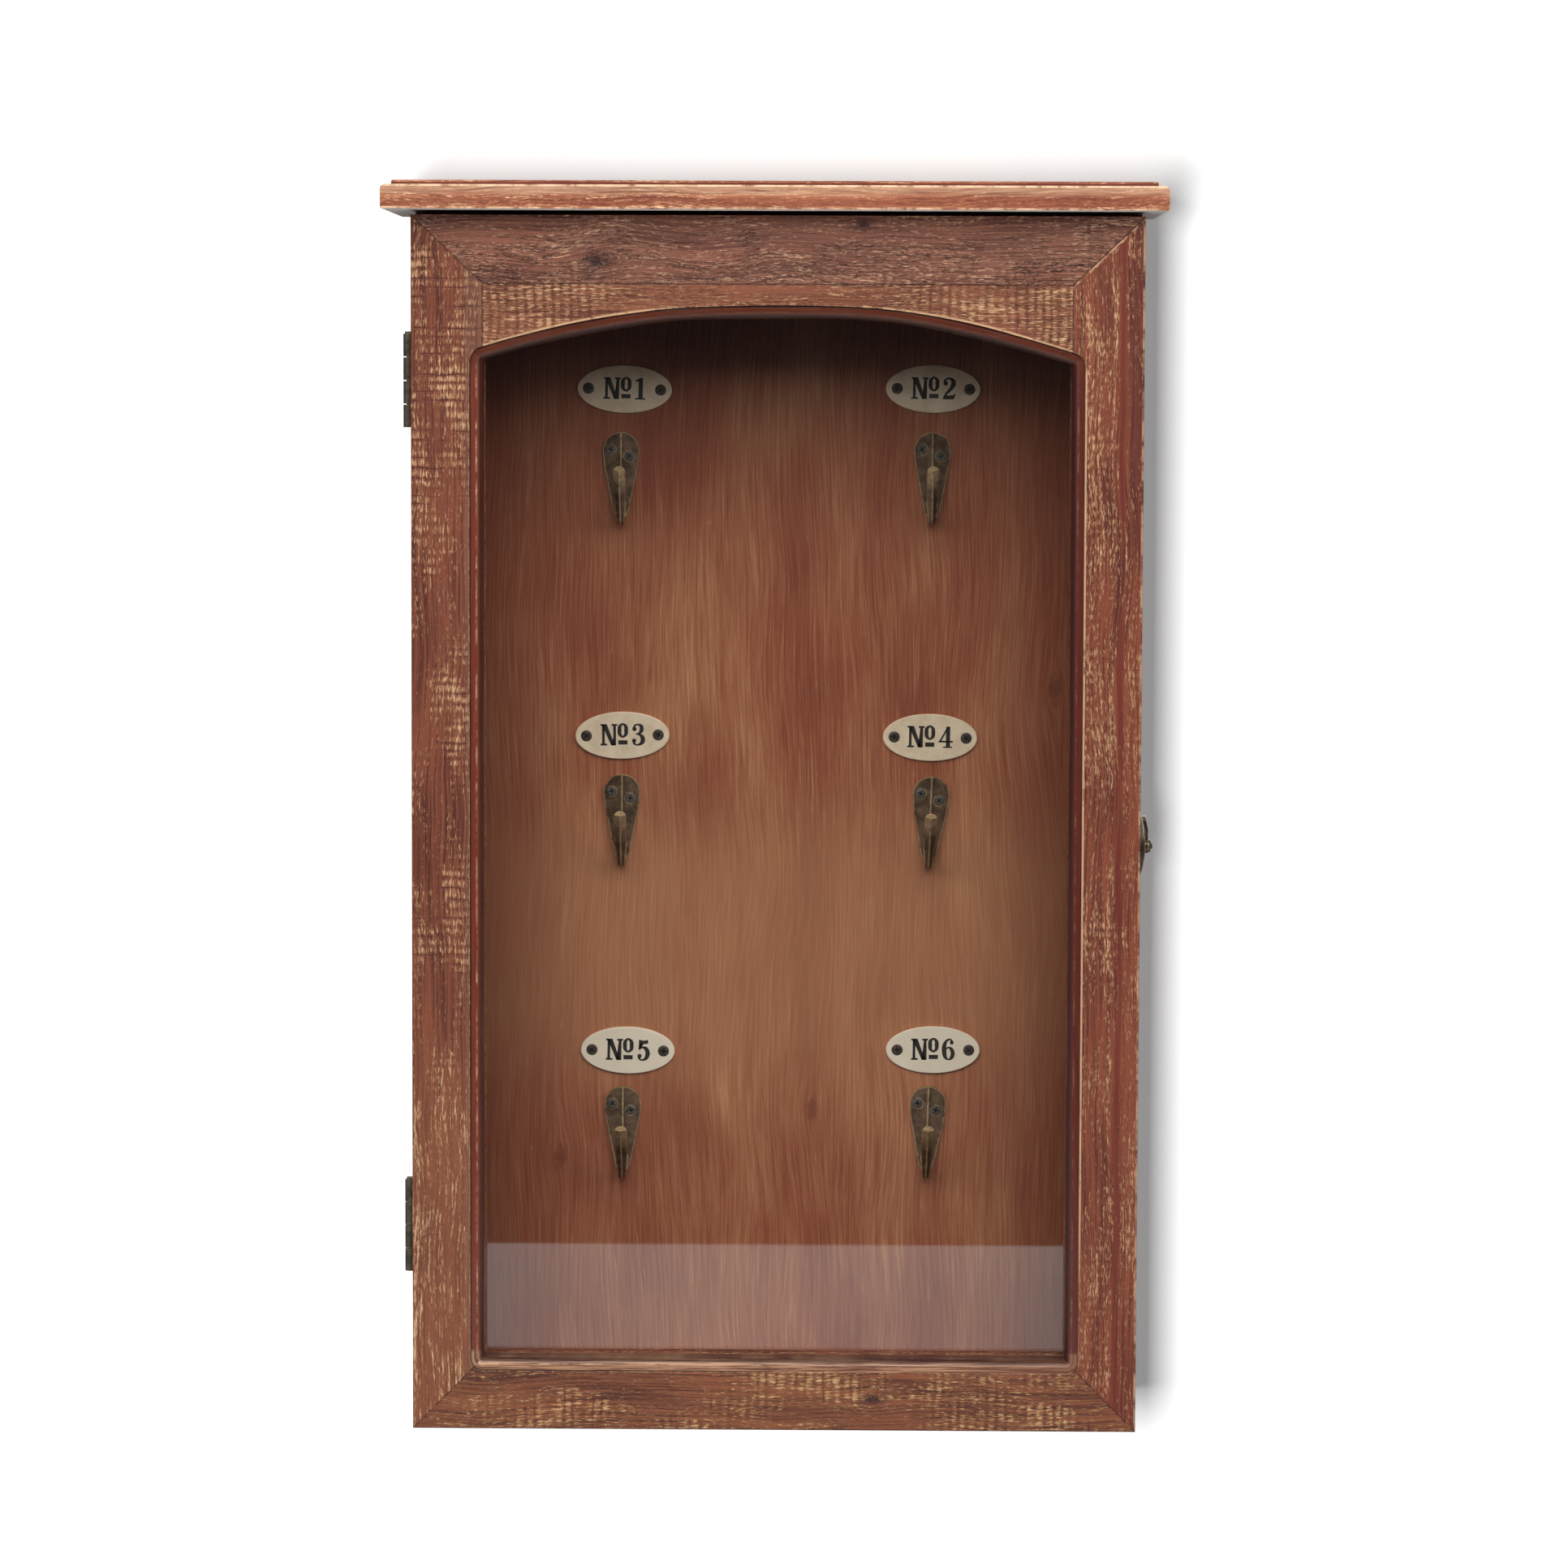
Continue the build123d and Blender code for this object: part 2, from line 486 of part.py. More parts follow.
hinge_upper_frame_leaf = leaf(HINGE_Z["upper"], False)
hinge_upper_door_leaf = leaf(HINGE_Z["upper"], True)
hinge_upper_pin = hinge_pin(HINGE_Z["upper"])
hinge_lower_frame_leaf = leaf(HINGE_Z["lower"], False)
hinge_lower_door_leaf = leaf(HINGE_Z["lower"], True)
hinge_lower_pin = hinge_pin(HINGE_Z["lower"])
leaf_screw = wood_screw(1.6, 0.8, LEAF_T, 9.0, 0.0)
hinge_frame_screws = spots(
    leaf_screw,
    [(LEAF_SCREW_X, -DEPTH, zc + dz, 0, 25 + dz * 3) for zc in HINGE_Z.values() for dz in leaf_screw_dz],
)
hinge_door_screws = spots(
    leaf_screw,
    [(LEAF_SCREW_X, -DOOR_Y0, zc + dz, 180, 25 + dz * 3) for zc in HINGE_Z.values() for dz in leaf_screw_dz],
)


# ---- side catch: domed plate, turning hook and strike stud ----
with BuildPart() as catch_plate:
    with BuildSketch(Plane.YZ.offset(HALF)) as outline:
        with BuildLine():
            ThreePointArc(
                (CATCH_Y, CATCH_Z - CATCH_L / 2), (CATCH_Y + CATCH_W / 2, CATCH_Z), (CATCH_Y, CATCH_Z + CATCH_L / 2)
            )
            ThreePointArc(
                (CATCH_Y, CATCH_Z + CATCH_L / 2), (CATCH_Y - CATCH_W / 2, CATCH_Z), (CATCH_Y, CATCH_Z - CATCH_L / 2)
            )
        make_face()
        fillet(outline.vertices(), 0.8)
    extrude(amount=CATCH_RISE + 1)
    sag = CATCH_RISE - 0.5
    dome = ((CATCH_L / 2) ** 2 + sag ** 2) / (2 * sag)
    with Locations((HALF + CATCH_RISE - dome, CATCH_Y, CATCH_Z)):
        Cylinder(dome, 30, rotation=(90, 0, 0), mode=Mode.INTERSECT)
    rod_x(HALF - 1, HALF + 4, CATCH_Y, CATCH_Z, RIVET_R, Mode.SUBTRACT)
    for dz in (-7.2, 7.2):
        rod_x(HALF - 1, HALF + 4, CATCH_Y, CATCH_Z + dz, 0.6, Mode.SUBTRACT)
LEVER_X = HALF + CATCH_RISE + 0.12
with BuildPart() as catch_rivet:
    rod_x(HALF - 7, LEVER_X + LEVER_T + 0.12, CATCH_Y, CATCH_Z, RIVET_R)
    with Locations((LEVER_X + LEVER_T + 0.12 + 0.35, CATCH_Y, CATCH_Z)):
        Cylinder(2.0, 0.7, rotation=(0, 90, 0))
    fillet(catch_rivet.edges().sort_by(Axis.X)[-1], 0.5)
    with Locations((LEVER_X + LEVER_T + 0.82 + 0.3, CATCH_Y, CATCH_Z)):
        Cone(1.2, 0.6, 0.6, rotation=(0, 90, 0))
with BuildPart() as catch_lever:
    # side profile: flat over the plate, then joggled towards the door
    with BuildSketch(Plane.XZ.offset(-CATCH_Y)) as profile:
        with BuildLine():
            Polyline([
                (LEVER_X, CATCH_Z - 2.3), (LEVER_X, CATCH_Z + 5.2), (LEVER_X - 0.55, CATCH_Z + 7.0),
                (LEVER_X - 1.0, CATCH_Z + 9.6), (LEVER_X - 0.8 + LEVER_T, CATCH_Z + 9.6),
                (LEVER_X - 0.45 + LEVER_T, CATCH_Z + 7.2), (LEVER_X + LEVER_T, CATCH_Z + 5.6),
                (LEVER_X + LEVER_T, CATCH_Z - 2.3), (LEVER_X, CATCH_Z - 2.3),
            ])
        make_face()
    extrude(amount=4, both=True)
    # front outline: eye, arm and a mouth that opens towards the wall
    with BuildSketch(Plane.YZ.offset(HALF)) as shape:
        with Locations((CATCH_Y, CATCH_Z)):
            Circle(2.3)
        with BuildLine():
            Polyline([
                (CATCH_Y - 1.3, CATCH_Z), (CATCH_Y - 1.9, CATCH_Z + 8.2), (CATCH_Y - 1.0, CATCH_Z + 9.6),
                (CATCH_Y + 1.7, CATCH_Z + 9.6), (CATCH_Y + 2.0, CATCH_Z + 5.6), (CATCH_Y + 1.1, CATCH_Z),
                (CATCH_Y - 1.3, CATCH_Z),
            ])
        make_face()
        with Locations((CATCH_Y, CATCH_Z + STUD_REACH)):
            Circle(STUD_R + MOUTH_CLEAR, mode=Mode.SUBTRACT)
        with Locations((CATCH_Y + 1.5, CATCH_Z + STUD_REACH)):
            Rectangle(3.0, 2 * (STUD_R + MOUTH_CLEAR), mode=Mode.SUBTRACT)
    extrude(amount=10, mode=Mode.INTERSECT)
    rod_x(HALF, HALF + 8, CATCH_Y, CATCH_Z, RIVET_R + 0.05, Mode.SUBTRACT)
with BuildPart() as catch_pins:
    for dz in (-7.2, 7.2):
        rise = CATCH_RISE - (dome - (dome * dome - dz * dz) ** 0.5)
        rod_x(HALF - 6, HALF + rise - 0.02, CATCH_Y, CATCH_Z + dz, 0.6)
with BuildPart() as strike_plate:
    with BuildSketch(Plane.YZ.offset(HALF)):
        with Locations((-43.7, CATCH_Z)):
            Ellipse(3.9, 3.3)
    extrude(amount=0.8)
    rod_x(HALF, HALF + 2.6, CATCH_Y + STUD_REACH, CATCH_Z, STUD_R)
    rod_x(HALF - 6, HALF, CATCH_Y + STUD_REACH, CATCH_Z, STUD_R)
    rod_x(HALF - 1, HALF + 2, -41.6, CATCH_Z, 0.7, Mode.SUBTRACT)
with BuildPart() as strike_pin:
    rod_x(HALF - 7, HALF + 0.8, -41.6, CATCH_Z, 0.7)
    rod_x(HALF + 0.8, HALF + 1.2, -41.6, CATCH_Z, 1.2)

# ---- key hook: ridged teardrop plate whose tail turns out and up ----
hook_screw = wood_screw(1.7, 0.8, 1.15, 5.2, 0.3)
with BuildPart() as prong:
    with BuildLine() as path:
        FilletPolyline(
            [(0, -1.4, -8.0), (0, -1.4, -14.2), (0, -5.4, -14.2), (0, -18.2, 3.4)],
            radius=[1.75, 3.5],
        )
    with BuildSketch(Plane(origin=path.line @ 0, x_dir=(1, 0, 0), z_dir=path.line % 0)) as strip:
        with BuildLine():
            Polyline([(-2.2, 0.5), (-1.4, 1.2), (1.4, 1.2), (2.2, 0.5), (2.2, -0.1), (1.7, -0.8), (0, -1.4), (-1.7, -0.8), (-2.2, -0.1), (-2.2, 0.5)])
        make_face()
    sweep(strip.sketch, path=path.line)
    with BuildSketch(Plane.XZ.offset(-3)) as taper:
        with BuildLine():
            ThreePointArc((-2.05, 2.0), (0, 4.1), (2.05, 2.0))
            Polyline([(2.05, 2.0), (2.1, -4.0), (1.1, -15.0), (0.7, -16.5), (-0.7, -16.5), (-1.1, -15.0), (-2.1, -4.0), (-2.05, 2.0)])
        make_face()
    extrude(taper.sketch, amount=30, mode=Mode.INTERSECT)
with BuildPart() as hook_blank:
    with BuildSketch(Plane.XZ) as drop:
        with BuildLine():
            ThreePointArc((-5.95, 8.2), (0, 15.0), (5.95, 8.2))
            Polyline([(5.95, 8.2), (5.5, 4.0), (2.35, -11.2), (1.5, -12.6), (-1.5, -12.6), (-2.35, -11.2), (-5.5, 4.0), (-5.95, 8.2)])
        make_face()
    extrude(amount=2.4)
    with BuildSketch(Plane.XY.offset(-20)) as ridge:
        with BuildLine():
            Polyline([(-7, 0), (-7, -1.0), (0, -2.1), (7, -1.0), (7, 0), (-7, 0)])
        make_face()
    extrude(ridge.sketch, amount=40, mode=Mode.INTERSECT)
    add(prong.part)
    for dx, dz in [(-3.4, 9.4), (2.7, 7.2)]:
        cone_y(dx, -0.4, -1.55, dz, 0.8, 1.7, Mode.SUBTRACT)
        rod_y(dx, -1.55, -4, dz, 1.7, Mode.SUBTRACT)
        rod_y(dx, 1, -1, dz, 0.8, Mode.SUBTRACT)


def hook(i):
    x, z, lean = HOOKS[i]
    with BuildPart() as part:
        add(hook_blank.part.moved(Location((x, -BACK_T, z), (0, lean, 0))))
    return part


key_hook_1, key_hook_2, key_hook_3, key_hook_4, key_hook_5, key_hook_6 = [hook(i) for i in range(6)]
key_hook_screws = spots(hook_screw, hook_screw_spots)


# ---- number plates ----
def number_plate(i):
    x, z, lean = PLATES[i]
    with BuildPart() as part:
        with BuildSketch(Plane.XZ.offset(BACK_T)):
            with Locations((x, z)):
                Ellipse(PLATE_A, PLATE_B, rotation=-lean)
        extrude(amount=PLATE_T)
        fillet(part.faces().sort_by(Axis.Y)[0].edges(), 0.35)
        for px, pz in plate_screw_xz[2 * i:2 * i + 2]:
            cone_y(px, -BACK_T, -BACK_T - PLATE_T, pz, 0.8, PLATE_SCREW_R, Mode.SUBTRACT)
            rod_y(px, -BACK_T - 0.5, -BACK_T + 1, pz, 0.8, Mode.SUBTRACT)
    return part


number_plate_1, number_plate_2, number_plate_3, number_plate_4, number_plate_5, number_plate_6 = [
    number_plate(i) for i in range(6)
]
number_plate_screws = spots(wood_screw(PLATE_SCREW_R, 0.8, 1.0, 4.8, 0.3), plate_screw_spots)

# ---- write every piece ----
cap_board.part.label = "cap_board"
export_step(cap_board.part, "parts/cap_board.step")
side_left.part.label = "side_left"
export_step(side_left.part, "parts/side_left.step")
side_right.part.label = "side_right"
export_step(side_right.part, "parts/side_right.step")
top_panel.part.label = "top_panel"
export_step(top_panel.part, "parts/top_panel.step")
bottom_panel.part.label = "bottom_panel"
export_step(bottom_panel.part, "parts/bottom_panel.step")
hanging_rail.part.label = "hanging_rail"
export_step(hanging_rail.part, "parts/hanging_rail.step")
back_panel.part.label = "back_panel"
export_step(back_panel.part, "parts/back_panel.step")
back_panel_pins.part.label = "back_panel_pins"
export_step(back_panel_pins.part, "parts/back_panel_pins.step")
cap_dowels.part.label = "cap_dowels"
export_step(cap_dowels.part, "parts/cap_dowels.step")
hanger_left.part.label = "hanger_plate_left"
export_step(hanger_left.part, "parts/hanger_plate_left.step")
hanger_right.part.label = "hanger_plate_right"
export_step(hanger_right.part, "parts/hanger_plate_right.step")
hanger_screws.part.label = "hanger_screws"
export_step(hanger_screws.part, "parts/hanger_screws.step")
door_stile_left.part.label = "door_stile_left"
export_step(door_stile_left.part, "parts/door_stile_left.step")
door_stile_right.part.label = "door_stile_right"
export_step(door_stile_right.part, "parts/door_stile_right.step")
door_rail_top.part.label = "door_rail_top"
export_step(door_rail_top.part, "parts/door_rail_top.step")
door_rail_bottom.part.label = "door_rail_bottom"
export_step(door_rail_bottom.part, "parts/door_rail_bottom.step")
arch_board.part.label = "arch_board"
export_step(arch_board.part, "parts/arch_board.step")
glass_pane.part.label = "glass_pane"
export_step(glass_pane.part, "parts/glass_pane.step")
glazing_strip_left.part.label = "glazing_strip_left"
export_step(glazing_strip_left.part, "parts/glazing_strip_left.step")
glazing_strip_right.part.label = "glazing_strip_right"
export_step(glazing_strip_right.part, "parts/glazing_strip_right.step")
glazing_strip_top.part.label = "glazing_strip_top"
export_step(glazing_strip_top.part, "parts/glazing_strip_top.step")
glazing_strip_bottom.part.label = "glazing_strip_bottom"
export_step(glazing_strip_bottom.part, "parts/glazing_strip_bottom.step")
glazing_pins.part.label = "glazing_pins"
export_step(glazing_pins.part, "parts/glazing_pins.step")
hinge_upper_frame_leaf.part.label = "hinge_upper_frame_leaf"
export_step(hinge_upper_frame_leaf.part, "parts/hinge_upper_frame_leaf.step")
hinge_upper_door_leaf.part.label = "hinge_upper_door_leaf"
export_step(hinge_upper_door_leaf.part, "parts/hinge_upper_door_leaf.step")
hinge_upper_pin.part.label = "hinge_upper_pin"
export_step(hinge_upper_pin.part, "parts/hinge_upper_pin.step")
hinge_lower_frame_leaf.part.label = "hinge_lower_frame_leaf"
export_step(hinge_lower_frame_leaf.part, "parts/hinge_lower_frame_leaf.step")
hinge_lower_door_leaf.part.label = "hinge_lower_door_leaf"
export_step(hinge_lower_door_leaf.part, "parts/hinge_lower_door_leaf.step")
hinge_lower_pin.part.label = "hinge_lower_pin"
export_step(hinge_lower_pin.part, "parts/hinge_lower_pin.step")
hinge_frame_screws.part.label = "hinge_frame_screws"
export_step(hinge_frame_screws.part, "parts/hinge_frame_screws.step")
hinge_door_screws.part.label = "hinge_door_screws"
export_step(hinge_door_screws.part, "parts/hinge_door_screws.step")
catch_plate.part.label = "catch_plate"
export_step(catch_plate.part, "parts/catch_plate.step")
catch_rivet.part.label = "catch_rivet"
export_step(catch_rivet.part, "parts/catch_rivet.step")
catch_lever.part.label = "catch_lever"
export_step(catch_lever.part, "parts/catch_lever.step")
catch_pins.part.label = "catch_pins"
export_step(catch_pins.part, "parts/catch_pins.step")
strike_plate.part.label = "strike_plate"
export_step(strike_plate.part, "parts/strike_plate.step")
strike_pin.part.label = "strike_pin"
export_step(strike_pin.part, "parts/strike_pin.step")
key_hook_1.part.label = "key_hook_1"
export_step(key_hook_1.part, "parts/key_hook_1.step")
key_hook_2.part.label = "key_hook_2"
export_step(key_hook_2.part, "parts/key_hook_2.step")
key_hook_3.part.label = "key_hook_3"
export_step(key_hook_3.part, "parts/key_hook_3.step")
key_hook_4.part.label = "key_hook_4"
export_step(key_hook_4.part, "parts/key_hook_4.step")
key_hook_5.part.label = "key_hook_5"
export_step(key_hook_5.part, "parts/key_hook_5.step")
key_hook_6.part.label = "key_hook_6"
export_step(key_hook_6.part, "parts/key_hook_6.step")
key_hook_screws.part.label = "key_hook_screws"
export_step(key_hook_screws.part, "parts/key_hook_screws.step")
number_plate_1.part.label = "number_plate_1"
export_step(number_plate_1.part, "parts/number_plate_1.step")
number_plate_2.part.label = "number_plate_2"
export_step(number_plate_2.part, "parts/number_plate_2.step")
number_plate_3.part.label = "number_plate_3"
export_step(number_plate_3.part, "parts/number_plate_3.step")
number_plate_4.part.label = "number_plate_4"
export_step(number_plate_4.part, "parts/number_plate_4.step")
number_plate_5.part.label = "number_plate_5"
export_step(number_plate_5.part, "parts/number_plate_5.step")
number_plate_6.part.label = "number_plate_6"
export_step(number_plate_6.part, "parts/number_plate_6.step")
number_plate_screws.part.label = "number_plate_screws"
export_step(number_plate_screws.part, "parts/number_plate_screws.step")
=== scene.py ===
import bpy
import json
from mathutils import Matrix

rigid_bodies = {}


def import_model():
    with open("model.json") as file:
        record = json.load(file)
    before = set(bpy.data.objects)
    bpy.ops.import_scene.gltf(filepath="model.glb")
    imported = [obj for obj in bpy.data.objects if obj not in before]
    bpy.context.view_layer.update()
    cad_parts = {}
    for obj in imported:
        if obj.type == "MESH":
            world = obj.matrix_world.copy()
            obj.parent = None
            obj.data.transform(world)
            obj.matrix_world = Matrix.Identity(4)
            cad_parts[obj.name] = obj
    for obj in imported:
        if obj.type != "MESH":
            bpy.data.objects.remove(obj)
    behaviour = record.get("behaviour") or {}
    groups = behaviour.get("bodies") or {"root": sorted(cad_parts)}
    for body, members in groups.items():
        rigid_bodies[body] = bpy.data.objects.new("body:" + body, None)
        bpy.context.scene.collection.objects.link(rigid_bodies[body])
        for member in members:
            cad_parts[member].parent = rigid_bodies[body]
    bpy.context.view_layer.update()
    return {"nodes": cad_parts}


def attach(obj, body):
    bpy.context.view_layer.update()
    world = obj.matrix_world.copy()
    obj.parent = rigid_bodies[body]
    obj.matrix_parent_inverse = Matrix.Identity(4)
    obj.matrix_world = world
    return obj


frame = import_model()

import json
import math
import bpy
import bmesh
from mathutils import Vector, Matrix

NODES = frame["nodes"]
scene = bpy.context.scene
MM = 0.001


# ------------------------------------------------------------------ node helpers
def lin(r, g, b):
    def f(c):
        c = c / 255.0
        return c / 12.92 if c <= 0.04045 else ((c + 0.055) / 1.055) ** 2.4
    return (f(r), f(g), f(b), 1.0)


class Graph:
    def __init__(self, name):
        self.mat = bpy.data.materials.new(name)
        self.mat.use_nodes = True
        self.t = self.mat.node_tree
        self.t.nodes.clear()
        self.out = self.t.nodes.new("ShaderNodeOutputMaterial")

    def put(self, socket, value):
        if value is None:
            return
        if isinstance(value, bpy.types.NodeSocket):
            self.t.links.new(value, socket)
        elif isinstance(value, (int, float)) and socket.type == "VECTOR":
            socket.default_value = (value, value, value)
        else:
            socket.default_value = value

    def node(self, kind, ins=None, **props):
        n = self.t.nodes.new(kind)
        for k, v in props.items():
            setattr(n, k, v)
        for k, v in (ins or {}).items():
            self.put(n.inputs[k], v)
        return n

    def m(self, op, a, b=None, c=None, clamp=False):
        n = self.node("ShaderNodeMath", operation=op, use_clamp=clamp)
        self.put(n.inputs[0], a)
        self.put(n.inputs[1], b)
        if c is not None:
            self.put(n.inputs[2], c)
        return n.outputs[0]

    def add(self, a, b): return self.m("ADD", a, b)
    def sub(self, a, b): return self.m("SUBTRACT", a, b)
    def mul(self, a, b): return self.m("MULTIPLY", a, b)
    def mad(self, a, b, c): return self.m("MULTIPLY_ADD", a, b, c)

    def step(self, v, lo, hi):
        n = self.node("ShaderNodeMapRange", {"Value": v, "From Min": lo, "From Max": hi, "To Min": 0.0, "To Max": 1.0})
        n.interpolation_type = "SMOOTHSTEP"
        n.clamp = True
        return n.outputs["Result"]

    def mix(self, f, a, b, blend="MIX"):
        n = self.node("ShaderNodeMix", data_type="RGBA", blend_type=blend, clamp_factor=True)
        self.put(n.inputs[0], f)
        self.put(n.inputs[6], a)
        self.put(n.inputs[7], b)
        return n.outputs[2]

    def noise(self, vec, scale=1.0, detail=2.0, rough=0.5, distort=0.0):
        n = self.node("ShaderNodeTexNoise", {"Vector": vec, "Scale": scale, "Detail": detail, "Roughness": rough, "Distortion": distort})
        return n.outputs[0]

    def ramp(self, f, stops, mode="LINEAR"):
        n = self.node("ShaderNodeValToRGB", {"Fac": f})
        e = n.color_ramp.elements
        n.color_ramp.interpolation = mode
        while len(e) < len(stops):
            e.new(0.5)
        for el, (p, c) in zip(e, stops):
            el.position = p
            el.color = c
        return n.outputs[0]

    def coords(self):
        """Object coordinates in millimetres: x, y, z sockets."""
        tc = self.node("ShaderNodeTexCoord")
        sc = self.node("ShaderNodeVectorMath", {0: tc.outputs["Object"], 3: 1000.0}, operation="SCALE")
        sp = self.node("ShaderNodeSeparateXYZ", {0: sc.outputs[0]})
        self.P = sc.outputs[0]
        return sp.outputs[0], sp.outputs[1], sp.outputs[2]

    def vec(self, x, y, z):
        n = self.node("ShaderNodeCombineXYZ")
        for s, v in zip(n.inputs, (x, y, z)):
            self.put(s, v)
        return n.outputs[0]

    def edge(self, radius_mm, lo=0.02, hi=0.25):
        """1 on convex and concave arrises, 0 on the flats."""
        b = self.node("ShaderNodeBevel", {"Radius": radius_mm * MM}, samples=6)
        g = self.node("ShaderNodeNewGeometry")
        d = self.node("ShaderNodeVectorMath", {0: b.outputs[0], 1: g.outputs["Normal"]}, operation="DOT_PRODUCT")
        return self.step(self.sub(1.0, d.outputs["Value"]), lo, hi)

    def finish(self, color, rough, height=None, bump_mm=0.1, strength=1.0, metallic=0.0, spec=0.5, coat=0.0, coat_rough=0.2):
        p = self.node("ShaderNodeBsdfPrincipled")
        self.put(p.inputs["Base Color"], color)
        self.put(p.inputs["Roughness"], rough)
        self.put(p.inputs["Metallic"], metallic)
        p.inputs["Specular IOR Level"].default_value = spec
        p.inputs["Coat Weight"].default_value = coat
        p.inputs["Coat Roughness"].default_value = coat_rough
        if height is not None:
            bmp = self.node("ShaderNodeBump", {"Height": height, "Distance": bump_mm * MM, "Strength": strength})
            self.put(p.inputs["Normal"], bmp.outputs[0])
        self.t.links.new(p.outputs[0], self.out.inputs[0])
        return self.mat


# ------------------------------------------------------------------ arch line
# least-squares polynomial of the arch line, x in units of 100 mm, z in mm
ARCH = [
    (-97.8, -27.6), (-82.0, -22.9), (-66.5, -19.4), (-48.4, -16.0),
    (-32.9, -14.0), (-14.0, -13.35), (0.6, -13.25), (26.4, -13.5),
    (38.0, -14.5), (50.0, -16.4), (62.5, -19.1), (75.4, -22.3),
    (86.0, -25.2), (97.8, -29.0),
]


def fit_poly(points, deg):
    n = deg + 1
    A = [[0.0] * n for _ in range(n)]
    B = [0.0] * n
    for x, z in points:
        x /= 100.0
        for i in range(n):
            B[i] += z * x ** i
            for j in range(n):
                A[i][j] += x ** (i + j)
    for i in range(n):
        p = A[i][i]
        for j in range(i, n):
            A[i][j] /= p
        B[i] /= p
        for k in range(n):
            if k != i:
                q = A[k][i]
                for j in range(i, n):
                    A[k][j] -= q * A[i][j]
                B[k] -= q * B[i]
    return B


POLY = fit_poly(ARCH, 6)


def trim_depth(g, x, z):
    """Distance in mm inwards from the outline of the moulded inner edge (at most 4); negative outside it."""
    u = g.mul(x, 0.01)
    v = POLY[-1]
    for c in reversed(POLY[:-1]):
        v = g.mad(u, v, c)
    up = g.mul(g.sub(v, z), 0.965)
    side = g.sub(97.8, g.m("ABSOLUTE", x))
    low = g.add(z, 355.1)
    total = None
    for d in (up, side, low):
        short = g.m("MAXIMUM", g.sub(4.0, d), 0.0)
        total = g.mul(short, short) if total is None else g.mad(short, short, total)
    return g.sub(4.0, g.m("SQRT", total))


# ------------------------------------------------------------------ distressed wood
DARK = lin(84, 36, 25)
MID = lin(138, 74, 52)
LIGHT = lin(204, 152, 112)
PALE = lin(238, 204, 164)


